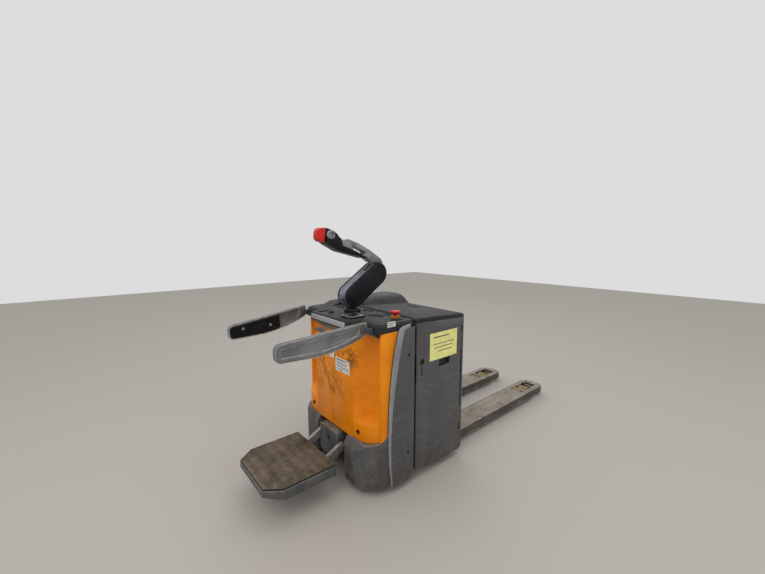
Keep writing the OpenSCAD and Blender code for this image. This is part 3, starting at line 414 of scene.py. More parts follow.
def make_finishes(colours):
    """One material for each of the record's slots. The table's own colours are display colours."""
    hood, body, trim = ((*c, 1) for c in (colours.hood, colours.body, colours.trim))
    rows = {
        "frame_dark": dict(
            gloss=0.2, base=(52, 46, 42), dark=(36, 34, 34), rough=0.7, marks=[rust_marks], grime=SOIL,
            grime_top=0.3),
        "body_grey": dict(
            base=body, dark=(76, 76, 77), rough=0.42, wear=(150, 148, 144), wear_width=2.5 * MM, wear_amount=0.55,
            grime=SOIL, grime_top=0.3, grime_amount=0.7, specks=(126, 120, 110), marks=[hair_scratches, door_hollow]),
        "skirt_grey": dict(
            base=(94, 94, 95), dark=(70, 68, 66), rough=0.5, wear=(176, 174, 170), wear_width=4 * MM,
            scratch=(160, 158, 154), scratch_amount=0.6, scratch_turn=(80, 20, 0), grime=(60, 52, 44), grime_top=0.4,
            dust=(128, 116, 102), dust_amount=0.8, specks=(186, 184, 180), marks=[run_marks]),
        "trim_grey": dict(
            base=trim, dark=(122, 122, 128), rough=0.33, wear=(206, 206, 210), wear_width=3 * MM, wear_amount=0.5,
            scratch=(188, 188, 192), scratch_amount=0.45, scratch_turn=(12, 0, 0), grime=(84, 74, 64), grime_top=0.22,
            specks=(98, 94, 90)),
        "hood_orange": dict(
            base=hood, dark=(226, 126, 2), rough=0.36, spread=0.16, gloss=0.25, wear=(110, 70, 30),
            wear_width=2.5 * MM, wear_amount=0.5, grain=0.04, grain_scale=420.0, tone_scale=3.5, grime=(120, 76, 30),
            grime_top=0.36, grime_amount=0.45, marks=[scuffs]),
        "deck_black": dict(
            base=(42, 43, 46), dark=(32, 33, 35), rough=0.5, gloss=0.22, wear=(104, 104, 108), wear_width=3 * MM,
            wear_amount=0.45, scratch=(86, 86, 90), scratch_amount=0.5, scratch_turn=(0, 80, 30), dust=DUST_AND_SKY_SHEEN,
            dust_amount=0.35, grain=0.16, grain_scale=700.0, marks=[deck_hollows]),
        "bright_strip": dict(
            base=(172, 173, 176), dark=(150, 151, 154), rough=0.36, metallic=0.3, tone_scale=4.0,
            scratch=(120, 118, 116), scratch_amount=0.3, scratch_turn=(0, 88, 0)),
        "display_black": dict(
            base=(28, 29, 31), dark=(22, 22, 25), rough=0.3, gloss=0.2, dust=DUST_AND_SKY_SHEEN, dust_amount=0.25),
        "bolt_black": dict(
            base=(26, 26, 27), dark=(16, 16, 17), rough=0.55, gloss=0.15, wear=(130, 128, 124), wear_width=1 * MM,
            wear_amount=0.4),
        "bracket_grey": dict(
            base=(62, 63, 66), dark=(46, 47, 50), rough=0.5, wear=BARE, wear_width=2 * MM, grime=SOIL, grime_top=0.5,
            dust=DUST, dust_amount=0.4),
        "switch_yellow": dict(base=(208, 126, 44), dark=(178, 100, 34), rough=0.4, dust=DUST, dust_amount=0.3),
        "signal_red": dict(
            base=(206, 40, 30), dark=(178, 26, 20), rough=0.4, gloss=0.25, wear=(226, 92, 80), wear_width=2 * MM,
            wear_amount=0.5, scratch=(120, 22, 18), scratch_amount=0.4),
        "tray_grey": dict(
            base=(92, 92, 92), dark=(66, 66, 66), rough=0.5, wear=(166, 164, 158), wear_width=4 * MM,
            scratch=(150, 148, 142), scratch_amount=0.6, scratch_turn=(0, 70, 10), dust=DUST, dust_amount=0.7,
            grime=SOIL, grime_top=0.2, grime_amount=0.5),
        "mat_rubber": dict(
            base=(50, 48, 46), dark=(36, 35, 34), rough=0.85, spread=0.1, gloss=0.1, marks=[footprints],
            wear=(120, 108, 94), wear_width=2 * MM, grain=0.3, grain_scale=600.0),
        "bare_steel": dict(
            base=(164, 162, 158), dark=(128, 122, 114), rough=0.4, metallic=0.6, scratch=(196, 192, 186),
            scratch_amount=0.6),
        "arm_grey": dict(
            base=(118, 119, 120), dark=(94, 95, 96), rough=0.4, wear=(206, 205, 202), wear_width=4 * MM,
            wear_amount=0.85, scratch=(176, 175, 172), scratch_amount=0.7, scratch_turn=(96, 0, 0), tone_scale=4.0,
            dust=DUST, dust_amount=0.3, marks=[root_dirt]),
        "pad_black": dict(
            base=(22, 22, 23), dark=(16, 16, 17), rough=0.62, gloss=0.12, wear=(70, 69, 68), wear_width=4 * MM,
            wear_amount=0.5, scratch=(74, 73, 72), scratch_amount=0.4, scratch_turn=(70, 0, 0), dust=DUST_AND_SKY_SHEEN,
            dust_amount=0.45, grain=0.25, grain_scale=900.0),
        "drive_iron": dict(
            base=(70, 71, 73), dark=(46, 45, 44), rough=0.6, grime=SOIL, grime_top=0.6, grain=0.2, grain_scale=400.0,
            metallic=0.3),
        "drive_rubber": dict(base=(88, 70, 46), dark=(60, 50, 36), rough=0.7, grime=SOIL, grime_top=0.3),
        "castor_steel": dict(
            base=(146, 146, 146), dark=(112, 108, 100), rough=0.4, metallic=0.8, grime=SOIL, grime_top=0.3),
        "castor_tyre": dict(base=(112, 92, 62), dark=(82, 68, 48), rough=0.65, grime=SOIL, grime_top=0.2),
        "tiller_black": dict(
            base=(20, 20, 26), dark=(14, 14, 19), rough=0.4, gloss=0.18, wear=(96, 96, 104), wear_width=2 * MM,
            wear_amount=0.4, scratch=(80, 80, 88), scratch_amount=0.35, scratch_turn=(50, 0, 0), dust=DUST_AND_SKY_SHEEN,
            dust_amount=0.25, grain=0.05, grain_scale=900.0),
        "link_grey": dict(
            base=(128, 128, 148), dark=(78, 78, 90), rough=0.3, gloss=0.5, tone_scale=18.0, wear=(170, 170, 180),
            wear_width=2 * MM, scratch=(156, 156, 166), scratch_amount=0.4, dust=DUST, dust_amount=0.3),
        "handle_grey": dict(
            base=(142, 143, 145), dark=(92, 93, 95), rough=0.42, tone_scale=12.0, wear=(204, 204, 206),
            wear_width=3 * MM, wear_amount=0.8, scratch=(168, 168, 170), scratch_amount=0.6, grain=0.08,
            grain_scale=700.0),
        "key_blue": dict(base=(62, 96, 168), dark=(48, 78, 140), rough=0.38, wear=(110, 140, 200)),
        "battery_case": dict(base=(58, 60, 66), dark=(44, 46, 52), rough=0.6, dust=DUST, dust_amount=0.6),
        "fork_paint": dict(
            base=(132, 123, 110), dark=(106, 98, 86), rough=0.6, wear=(206, 202, 194), wear_width=6 * MM,
            wear_amount=0.9, scratch=(180, 174, 162), scratch_amount=0.6, scratch_turn=(86, 0, 0),
            dust=(158, 148, 132), dust_amount=0.5, marks=[track_marks_and_flank_shade]),
        "load_steel": dict(
            base=(74, 72, 70), dark=(52, 50, 47), rough=0.5, metallic=0.5, wear=BARE, grime=(44, 38, 32),
            grime_top=0.12),
        "roller_tan": dict(
            base=(150, 122, 84), dark=(118, 96, 66), rough=0.6, grime=SOIL, grime_top=0.12, grime_amount=0.6,
            scratch=(96, 80, 58), scratch_amount=0.4),
        "ram_chrome": dict(base=(206, 206, 208), dark=(190, 190, 192), rough=0.14, metallic=1.0),
    }
    for settings in rows.values():
        for part in PAINTED.intersection(settings):
            if len(settings[part]) == 3:
                settings[part] = tint(*settings[part])
    return {slot: worn(f"{slot}_finish", **settings) for slot, settings in rows.items()}


def plain_finish(name, base, dark, rough=0.6, line=None, marks=(), gloss=0.35):
    """Paper, film or print: a little tone change, fibres and rubbed specks."""
    finish = Finish(name)
    colour = finish.mix(finish.blotches(0.4, 0.68, 30.0, 5.0, 0.65), base, dark)
    rubbed = finish.blotches(0.58, 0.66, 75.0, 4.0, 0.7)
    if line:
        colour = finish.mix(finish.times(rubbed, 0.8), colour, line)
    roughness = finish.step(finish.noise(60.0), 0.3, 0.7, rough - 0.08, rough + 0.08)
    for mark in marks:
        colour, roughness = mark(finish, colour, roughness)
    finish.set(Base_Color=colour, Roughness=roughness, Specular_IOR_Level=gloss)
    finish.bump(finish.noise(900.0), 0.08, 0.2 * MM)
    return finish.material


# ---------------------------------------------------------------- making pieces

def linked(name, data):
    """A new object in the scene."""
    item = bpy.data.objects.new(name, data)
    bpy.context.scene.collection.objects.link(item)
    return item


def new_piece(name, mesh, body, slot, *materials):
    """Links a mesh as a piece that rides on a body, with its slot's finish unless others are given."""
    piece = linked(name, mesh)
    if mesh.materials:
        mesh.materials.clear()
    for material in materials or (slot_finish(slot),):
        mesh.materials.append(material)
    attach(piece, body)
    return piece


def slot_finish(slot):
    return bpy.data.materials[f"{slot}_finish"]


def as_mesh(name, form):
    """A bmesh as a plain mesh."""
    mesh = bpy.data.meshes.new(name)
    form.to_mesh(mesh)
    form.free()
    return mesh


def mesh_from(name, form):
    """A plain mesh from a bmesh, its faces turned outward and smooth except at sharp edges."""
    bmesh.ops.recalc_face_normals(form, faces=form.faces)
    return smoothed(as_mesh(name, form))


def smoothed(mesh, angle=34):
    mesh.polygons.foreach_set("use_smooth", [True] * len(mesh.polygons))
    mesh.set_sharp_from_angle(angle=math.radians(angle))
    return mesh


def finished(piece, name):
    """The piece's evaluated shape as a plain mesh; the piece it came from is removed."""
    graph = bpy.context.evaluated_depsgraph_get()
    mesh = bpy.data.meshes.new_from_object(piece.evaluated_get(graph))
    mesh.name = name
    bpy.data.objects.remove(piece)
    return mesh


def joined_copy(node):
    """A bmesh of a CAD node with its loose triangles joined and its flat faces made whole."""
    source = frame["nodes"][node].data
    form = bmesh.new()
    spots = [form.verts.new(v.co) for v in source.vertices]
    for polygon in source.polygons:
        form.faces.new([spots[i] for i in polygon.vertices])
    bmesh.ops.remove_doubles(form, verts=form.verts, dist=0.02 * MM)
    bmesh.ops.dissolve_degenerate(form, dist=0.01 * MM, edges=form.edges)
    bmesh.ops.dissolve_limit(form, angle_limit=math.radians(0.4), verts=form.verts, edges=form.edges)
    return form


def rounded(name, node, width, segments=2, angle=30):
    """A copy of a CAD node with its edges rounded."""
    rough_piece = linked(name, as_mesh(name, joined_copy(node)))
    bevel = rough_piece.modifiers.new("edge", "BEVEL")
    bevel.width = width
    bevel.segments = segments
    bevel.limit_method = "ANGLE"
    bevel.angle_limit = math.radians(angle)
    bevel.miter_outer = "MITER_ARC"
    return smoothed(finished(rough_piece, name), 40)


def narrowed(mesh, low, high):
    """Draws a cap in toward its front end: to a round nose from above, to a thinner one from the side."""
    middle = (low + high) / 2
    for vertex in mesh.vertices:
        reach = min(max((high.y - vertex.co.y) / (high.y - low.y), 0), 1)
        vertex.co.x = middle.x + (vertex.co.x - middle.x) * math.sqrt(1 - 0.93 * reach ** 1.2)
        vertex.co.z = middle.z + (vertex.co.z - middle.z) * math.sqrt(1 - 0.5 * reach ** 2)


def plate(form, centre, right, up, width, height, thickness, corner, material=0):
    """A thin flat plate with rounded corners, its back face at centre."""
    right, up = right.normalized(), up.normalized()
    out = right.cross(up)
    steps = 4
    outline = []
    for turn, (sx, sy) in enumerate(((1, 1), (-1, 1), (-1, -1), (1, -1))):
        for i in range(steps + 1):
            a = math.pi / 2 * (turn + i / steps)
            outline.append((sx * (width / 2 - corner) + corner * math.cos(a),
                            sy * (height / 2 - corner) + corner * math.sin(a)))
    back = [form.verts.new(centre + right * x + up * y) for x, y in outline]
    front = [form.verts.new(v.co + out * thickness) for v in back]
    faces = [form.faces.new(front), form.faces.new(back[::-1])]
    for i in range(len(back)):
        j = (i + 1) % len(back)
        faces.append(form.faces.new((back[i], back[j], front[j], front[i])))
    for face in faces:
        face.material_index = material


# ---------------------------------------------------------------- node trees for what repeats

class Tree(Nodes):
    """A Geometry Nodes tree with named inputs."""

    def __init__(self, name, inputs):
        super().__init__(bpy.data.node_groups.new(name, "GeometryNodeTree"))
        sockets = self.tree.interface
        sockets.new_socket("Geometry", in_out="INPUT", socket_type="NodeSocketGeometry")
        for label, (kind, default) in inputs.items():
            socket = sockets.new_socket(label, in_out="INPUT", socket_type=kind)
            if default is not None:
                socket.default_value = default
        sockets.new_socket("Geometry", in_out="OUTPUT", socket_type="NodeSocketGeometry")
        self.given = self.tree.nodes.new("NodeGroupInput").outputs
        self.result = self.tree.nodes.new("NodeGroupOutput").inputs

    def add(self, kind, settings=None, **inputs):
        node = self.tree.nodes.new(kind)
        for key, value in (settings or {}).items():
            setattr(node, key, value)
        for key, value in inputs.items():
            self.put(value, node.inputs[key.replace("_", " ")])
        return node

    def sum(self, operation, first, second):
        node = self.add("ShaderNodeMath", {"operation": operation})
        self.put(first, node.inputs[0])
        self.put(second, node.inputs[1])
        return node.outputs[0]

    def end(self, geometry):
        """Real faces with the finish set, as the tree's result."""
        real = self.add("GeometryNodeRealizeInstances", Geometry=geometry)
        coloured = self.add("GeometryNodeSetMaterial", Geometry=real.outputs[0], Material=self.given["Finish"])
        self.put(coloured.outputs[0], self.result[0])
        return self.tree


def run_tree(name, tree, host_mesh, values):
    """Runs a tree on a host mesh and returns the plain mesh it makes."""
    host = linked(name, host_mesh)
    modifier = host.modifiers.new("repeat", "NODES")
    modifier.node_group = tree
    for item in tree.interface.items_tree:
        if item.in_out == "INPUT" and item.name in values:
            modifier[item.identifier] = values[item.name]
    return finished(host, name)


def screw_tree():
    """A cap screw with a round recess at each point, facing the point's own direction."""
    tree = Tree("cap_screws", {
        "Head Radius": ("NodeSocketFloat", 0.006),
        "Head Height": ("NodeSocketFloat", 0.003),
        "Finish": ("NodeSocketMaterial", None),
    })
    radius, height = tree.given["Head Radius"], tree.given["Head Height"]
    head = tree.add("GeometryNodeMeshCylinder", Vertices=20, Radius=radius, Depth=height)
    ring = tree.add("GeometryNodeExtrudeMesh", {"mode": "FACES"}, Mesh=head.outputs["Mesh"],
                    Selection=head.outputs["Top"], Offset_Scale=0.0)
    narrow = tree.add("GeometryNodeScaleElements", {"domain": "FACE"}, Geometry=ring.outputs["Mesh"],
                      Selection=ring.outputs["Top"], Scale=0.55)
    recess = tree.add("GeometryNodeExtrudeMesh", {"mode": "FACES"}, Mesh=narrow.outputs["Geometry"],
                      Selection=ring.outputs["Top"], Offset_Scale=tree.sum("MULTIPLY", height, -0.6))
    direction = tree.add("GeometryNodeInputNamedAttribute", {"data_type": "FLOAT_VECTOR"}, Name="facing")
    turn = tree.add("FunctionNodeAlignRotationToVector", {"axis": "Z"}, Vector=direction.outputs[0])
    copies = tree.add("GeometryNodeInstanceOnPoints", Points=tree.given["Geometry"], Instance=recess.outputs["Mesh"],
                      Rotation=turn.outputs[0])
    return tree.end(copies.outputs[0])


def rib_tree():
    """Low bars across the mat at an even pitch, shorter where the mat's front corners are cut."""
    tree = Tree("mat_ribs", {
        "Count": ("NodeSocketInt", 40),
        "Pitch": ("NodeSocketFloat", 0.008),
        "Width": ("NodeSocketFloat", 0.003),
        "Height": ("NodeSocketFloat", 0.001),
        "Length": ("NodeSocketFloat", 0.36),
        "Short Length": ("NodeSocketFloat", 0.26),
        "Cut Length": ("NodeSocketFloat", 0.06),
        "Finish": ("NodeSocketMaterial", None),
    })
    given = tree.given
    offset = tree.add("ShaderNodeCombineXYZ", Y=given["Pitch"])
    line = tree.add("GeometryNodeMeshLine", {"mode": "OFFSET"}, Count=given["Count"], Offset=offset.outputs[0])
    index = tree.add("GeometryNodeInputIndex")
    along = tree.sum("MULTIPLY", index.outputs[0], given["Pitch"])
    length = tree.add("ShaderNodeMapRange", Value=along, From_Min=0.0)
    tree.put(given["Cut Length"], length.inputs["From Max"])
    tree.put(given["Short Length"], length.inputs["To Min"])
    tree.put(given["Length"], length.inputs["To Max"])
    radius = tree.sum("MULTIPLY", given["Width"], 0.5)
    profile = tree.add("GeometryNodeMeshCylinder", Vertices=8, Radius=radius, Depth=1.0)
    flat = tree.add("ShaderNodeCombineXYZ", X=tree.sum("DIVIDE", given["Height"], radius), Y=1.0, Z=1.0)
    lying = tree.add("GeometryNodeTransform", Geometry=profile.outputs["Mesh"], Scale=flat.outputs[0])
    across = tree.add("GeometryNodeTransform", Geometry=lying.outputs[0], Rotation=(0.0, math.pi / 2, 0.0))
    size = tree.add("ShaderNodeCombineXYZ", X=length.outputs[0], Y=1.0, Z=1.0)
    copies = tree.add("GeometryNodeInstanceOnPoints", Points=line.outputs[0], Instance=across.outputs[0],
                      Scale=size.outputs[0])
    places = tree.add("GeometryNodeInputNamedAttribute", {"data_type": "FLOAT_VECTOR"}, Name="start")
    corner = tree.add("GeometryNodeSampleIndex", {"data_type": "FLOAT_VECTOR"}, Geometry=given["Geometry"],
                      Value=places.outputs[0])
    moved = tree.add("GeometryNodeTransform", Geometry=copies.outputs[0], Translation=corner.outputs[0])
    return tree.end(moved.outputs[0])


def points_mesh(name, points, attribute, values):
    """A mesh of loose points with a direction or place stored on each."""
    mesh = bpy.data.meshes.new(name)
    mesh.from_pydata([tuple(p) for p in points], [], [])
    stored = mesh.attributes.new(attribute, "FLOAT_VECTOR", "POINT")
    stored.data.foreach_set("vector", [c for v in values for c in v])
    return mesh


# ---------------------------------------------------------------- settings

def length_setting(name, text, default, low=0.0001, high=0.1):
    return FloatProperty(name=name, description=text, default=default, min=low, max=high, unit="LENGTH", precision=4)


def colour_setting(name, text, default):
    return FloatVectorProperty(name=name, description=text, default=default[:3], min=0, max=1, size=3,
                               subtype="COLOR")


class TruckColours(bpy.types.PropertyGroup):
    """Paint colours of the truck"""
    hood: colour_setting("Hood", "Paint of the motor hood", tint(240, 142, 4))
    body: colour_setting("Body", "Paint of the battery box and side plates", tint(80, 80, 82))
    trim: colour_setting("Trims", "Paint of the pillar trims", tint(142, 142, 148))
    note: colour_setting("Paper note", "Colour of the paper note on the battery box", tint(236, 234, 150))


class TruckSizes(bpy.types.PropertyGroup):
    """Small sizes of the truck's surface details"""
    edge: length_setting("Edge radius", "Rounding of pressed and moulded edges", 0.0022)
    fine_edge: length_setting("Fine edge radius", "Rounding of plate edges", 0.001)
    rib_pitch: length_setting("Rib pitch", "Distance between the mat's ribs", 0.0085, 0.004)
    rib_height: length_setting("Rib height", "Height of the mat's ribs", 0.0011, 0.0003, 0.002)
    screw_radius: length_setting("Screw radius", "Radius of the cap screws' heads", 0.0062, 0.002, 0.02)
    screw_height: length_setting("Screw height", "Height of the cap screws' heads", 0.0025, 0.0005, 0.01)
    rim_width: length_setting("Cover rim", "Width of the raised rim on the tiller covers", 0.0035, 0.001, 0.01)
    label_thickness: length_setting("Label thickness", "Thickness of film labels", 0.0004, 0.0001, 0.002)
    pad_rounds: IntProperty(name="Pad smoothing", description="Smoothing passes over the arm pads", default=14, min=0,
                            max=60)


# Rounded pieces: node, new piece, slot, edge (coarse or fine), share of that edge
ROUNDED = (
    ("motor_hood", "hood_shell", "hood_orange", "edge", 1.2),
    ("skirt_right", "skirt_shell_right", "skirt_grey", "edge", 1.1),
    ("skirt_left", "skirt_shell_left", "skirt_grey", "edge", 1.1),
    ("hinge_block", "hinge_casting", "skirt_grey", "edge", 1.4),
    ("pillar_trims", "pillar_mouldings", "trim_grey", "edge", 1.5),
    ("side_plate_right", "side_sheet_right", "body_grey", "fine_edge", 1.0),
    ("side_plate_left", "side_sheet_left", "body_grey", "fine_edge", 1.0),
    ("deck_cover", "deck_shell", "deck_black", "edge", 1.3),
    ("deck_strip", "deck_nose_strip", "bright_strip", "fine_edge", 1.0),
    ("display_panel", "display_case", "display_black", "fine_edge", 1.5),
    ("arm_brackets", "arm_ears", "bracket_grey", "fine_edge", 1.0),
    ("platform_tray", "tray_shell", "tray_grey", "edge", 0.9),
    ("arm_right", "arm_shell_right", "arm_grey", "fine_edge", 1.5),
    ("arm_left", "arm_shell_left", "arm_grey", "fine_edge", 1.5),
    ("tiller_turret", "turret_shell", "tiller_black", "fine_edge", 1.5),
    ("tiller_link", "link_shell", "link_grey", "fine_edge", 1.5),
    ("link_covers", "cover_shells", "tiller_black", "edge", 0.9),
    ("handle_frame", "handle_casting", "handle_grey", "edge", 1.3),
    ("grip_body", "grip_shell", "tiller_black", "edge", 2.2),
    ("belly_button", "belly_cap", "signal_red", "edge", 1.8),
    ("battery_box", "box_shell", "body_grey", "fine_edge", 1.0),
    ("battery_lid", "lid_shell", "deck_black", "edge", 1.3),
    ("battery_door", "door_sheet", "body_grey", "fine_edge", 1.1),
    ("fork_right", "fork_beam_right", "fork_paint", "edge", 1.1),
    ("fork_left", "fork_beam_left", "fork_paint", "edge", 1.1),
)


# ---------------------------------------------------------------- operators

class TRUCK_OT_finishes(bpy.types.Operator):
    """Make the finishes and give every frame part its own"""
    bl_idname = "truck.finishes"
    bl_label = "Finishes"

    def execute(self, context):
        finishes = make_finishes(context.scene.truck_colours)
        nodes = {
            "frame_dark": ["chassis_frame", "castor_carriers"],
            "bolt_black": ["panel_bolts", "door_lock"],
            "bracket_grey": ["motor_controller", "pump_unit", "lift_cylinder"],
            "switch_yellow": ["lift_button", "estop_base"],
            "signal_red": ["estop_button"],
            "bare_steel": ["platform_hinge", "steering_column", "push_rods"],
            "drive_iron": ["drive_gearbox", "drive_motor", "drive_hub"],
            "drive_rubber": ["drive_tyre"],
            "castor_steel": ["castor_fork_right", "castor_fork_left"],
            "castor_tyre": ["castor_wheel_right", "castor_wheel_left"],
            "handle_grey": ["thumb_wheel"],
            "key_blue": ["horn_button"],
            "battery_case": ["battery"],
            "load_steel": ["load_arms", "bogies"],
            "roller_tan": [f"roller_{side}_{end}" for side in ("right", "left") for end in ("front", "rear")],
            "ram_chrome": ["piston_rod"],
        }
        for slot, names in nodes.items():
            for name in names:
                part = frame["nodes"][name]
                part.data.materials.clear()
                part.data.materials.append(finishes[slot])
        return {"FINISHED"}


class TRUCK_OT_bodywork(bpy.types.Operator):
    """Make the rounded sheet, moulded and cast pieces"""
    bl_idname = "truck.bodywork"
    bl_label = "Bodywork"

    def execute(self, context):
        sizes = context.scene.truck_sizes
        for node, name, slot, edge, share in ROUNDED:
            body = body_of(node)
            mesh = rounded(name, node, getattr(sizes, edge) * share)
            if node == "belly_button":
                narrowed(mesh, *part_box(node))
            piece = new_piece(name, mesh, body, slot)
            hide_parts(node)
        return {"FINISHED"}


class TRUCK_OT_pads(bpy.types.Operator):
    """Make the soft pads on the guard arms"""
    bl_idname = "truck.pads"
    bl_label = "Arm pads"

    def execute(self, context):
        sizes = context.scene.truck_sizes
        for side in (RIGHT, LEFT):
            node = f"arm_pad_{side_name(side)}"
            name = f"soft_pad_{side_name(side)}"
            rough_piece = linked(name, as_mesh(name, joined_copy(node)))
            remesh = rough_piece.modifiers.new("skin", "REMESH")
            remesh.mode = "VOXEL"
            remesh.voxel_size = PAD_VOXEL
            smooth = rough_piece.modifiers.new("rounding", "SMOOTH")
            smooth.factor = 0.5
            smooth.iterations = sizes.pad_rounds
            soft = finished(rough_piece, name)
            low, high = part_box(node)
            for vertex in soft.vertices:
                share = (vertex.co.y - low.y) / (high.y - low.y)
                crown = math.sin(math.pi * min(max(share, 0), 1)) ** 0.5
                inward = -side * vertex.normal.x
                if inward > 0.3:
                    vertex.co.x -= side * PAD_CROWN * crown * inward
            piece = new_piece(name, smoothed(soft, 60), "guard_" + side_name(side), "pad_black")
            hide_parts(node)
        return {"FINISHED"}


class TRUCK_OT_mat(bpy.types.Operator):
    """Make the ribbed rubber mat of the platform"""
    bl_idname = "truck.mat"
    bl_label = "Platform mat"

    def execute(self, context):
        sizes = context.scene.truck_sizes
        low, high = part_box("platform_mat")
        base = rounded("mat_base", "platform_mat", sizes.edge)
        count = int((high.y - low.y - 2 * MAT_MARGIN) / sizes.rib_pitch)
        start = (0.0, low.y + MAT_MARGIN, high.z - 0.2 * MM)
        host = points_mesh("mat_rib_start", [start], "start", [start])
        full = high.x - low.x - 2 * MAT_MARGIN
        ribs = run_tree("mat_rib_bars", rib_tree(), host, {
            "Count": count, "Pitch": sizes.rib_pitch, "Width": sizes.rib_pitch * 0.42, "Height": sizes.rib_height,
            "Length": full, "Short Length": full - MAT_CUT_WIDTH, "Cut Length": MAT_CUT_DEPTH,
            "Finish": slot_finish("mat_rubber"),
        })
        form = bmesh.new()
        form.from_mesh(base)
        form.from_mesh(ribs)
        mesh = smoothed(as_mesh("tread_mat", form))
        piece = new_piece("tread_mat", mesh, body_of("platform_mat"), "mat_rubber")
        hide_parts("platform_mat")
        return {"FINISHED"}


class TRUCK_OT_screws(bpy.types.Operator):
    """Set the cap screws of the pads, covers, deck and door, and the plug of the hinge block"""
    bl_idname = "truck.screws"
    bl_label = "Screws"

    def execute(self, context):
        sizes = context.scene.truck_sizes
        tree = screw_tree()
        low_joint, top_joint = pivot("tiller_tilt"), pivot("handle_tilt")
        deck, door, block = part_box("deck_cover"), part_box("battery_door"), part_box("hinge_block")
        cover_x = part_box("link_covers")[1].x + 0.2 * MM
        deck_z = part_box("deck_strip")[1].z + 6 * MM
        cover_spots = low_joint.lerp(top_joint, 0.06), low_joint.lerp(top_joint, 0.94)
        # each row: the node it is set in, slot, share of the screw size, and a place and direction for each screw
        rows = {
            "cover_screws": ("tiller_link", "bolt_black", 0.75, [
                ((side * cover_x, spot.y, spot.z), (side, 0, 0)) for side in (RIGHT, LEFT) for spot in cover_spots]),
            "deck_screws": ("chassis_frame", "bolt_black", 0.9, [
                ((x, deck[0].y + back, deck_z), Z_AXIS) for x in (-0.15, 0.15) for back in (0.045, 0.2)]),
            "block_plug": ("hinge_block", "bolt_black", 1.6, [((0, block[0].y, 0.21), (0, -1, 0))]),
            "door_screws": ("battery_door", "bolt_black", 0.8, [
                ((door[1].x, door[1].y - 0.035, z), X_AXIS) for z in (0.26, 0.71)]),
        }
        for side in (RIGHT, LEFT):
            pad = f"arm_pad_{side_name(side)}"
            low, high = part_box(pad)
            inner = low.x if side == RIGHT else high.x
            x, z = inner - side * 1.6 * MM, (low.z + high.z) / 2 - 2 * MM
            rows[f"pad_screws_{side_name(side)}"] = (pad, "bare_steel", 1.2, [
                ((x, low.y + (high.y - low.y) * share, z), (-side, 0, 0)) for share in (0.24, 0.78)])
        for name, (node, slot, share, spots) in rows.items():
            host = points_mesh(f"{name}_points", [p for p, _ in spots], "facing", [d for _, d in spots])
            mesh = run_tree(name, tree, host, {
                "Head Radius": sizes.screw_radius * share, "Head Height": sizes.screw_height * share,
                "Finish": slot_finish(slot)})
            new_piece(name, smoothed(mesh), body_of(node), slot)
        return {"FINISHED"}


class TRUCK_OT_cover_rims(bpy.types.Operator):
    """Raise a rim round each of the tiller's side covers"""
    bl_idname = "truck.cover_rims"
    bl_label = "Cover rims"

    def execute(self, context):
        sizes = context.scene.truck_sizes
        low_joint, top_joint = pivot("tiller_tilt"), pivot("handle_tilt")
        along = (top_joint - low_joint).normalized()
        across = X_AXIS.cross(along)
        face_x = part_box("link_covers")[1].x
        form = bmesh.new()
        half = sizes.rim_width / 2
        foot, crest = -0.4 * MM, 1.1 * MM
        steps = 24
        for side in (RIGHT, LEFT):
            loops = []
            for offset, lift in ((-half, foot), (-half * 0.6, crest), (half * 0.6, crest), (half, foot)):
                radius = COVER_RADIUS + offset
                loop = []
                for centre, first in ((low_joint, 90), (top_joint, -90)):
                    for i in range(steps + 1):
                        a = math.radians(first + 180 * i / steps)
                        spot = centre + radius * (along * math.cos(a) + across * math.sin(a))
                        loop.append(form.verts.new((side * (face_x + lift), spot.y, spot.z)))
                loops.append(loop)
            for inner, outer in zip(loops, loops[1:] + loops[:1]):
                for i in range(len(inner)):
                    j = (i + 1) % len(inner)
                    form.faces.new((inner[i], inner[j], outer[j], outer[i]))
        body = body_of("link_covers")
        new_piece("cover_rims", mesh_from("cover_rims", form), body, "tiller_black")
        return {"FINISHED"}


class TRUCK_OT_display(bpy.types.Operator):
    """Make the display's bright frame, glass and keys"""
    bl_idname = "truck.display"
    bl_label = "Display"

    def execute(self, context):
        low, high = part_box("display_panel")
        centre = Vector(((low.x + high.x) / 2, (low.y + high.y) / 2, high.z))
        frame_finish = plain_finish("display_frame_finish", tint(214, 214, 212), tint(176, 176, 174), 0.45,
                                    tint(120, 118, 114))
        glass = plain_finish("display_glass_finish", tint(40, 44, 44), tint(28, 32, 33), 0.25, gloss=0.2)
        key = plain_finish("display_key_finish", tint(126, 128, 126), tint(92, 93, 92), 0.5)
        border, key_pitch = 3.5 * MM, 15 * MM
        width, depth = high.x - low.x - 6 * MM, high.y - low.y - 6 * MM
        form = bmesh.new()
        plate(form, centre, X_AXIS, Y_AXIS, width, depth, 0.6 * MM, 5 * MM, 0)
        plate(form, centre + Z_AXIS * 0.5 * MM, X_AXIS, Y_AXIS, width - 2 * border, depth - 2 * border, 0.4 * MM,
              3 * MM, 1)
        for i in range(4):
            spot = centre + Vector(((i - 1.5) * key_pitch, -0.26 * (high.y - low.y), 0.8 * MM))
            plate(form, spot, X_AXIS, Y_AXIS, 8 * MM, 5 * MM, 0.5 * MM, 1.5 * MM, 2)
        mesh = mesh_from("display_face", form)
        new_piece("display_face", mesh, "chassis", "display_black", frame_finish, glass, key)
        return {"FINISHED"}


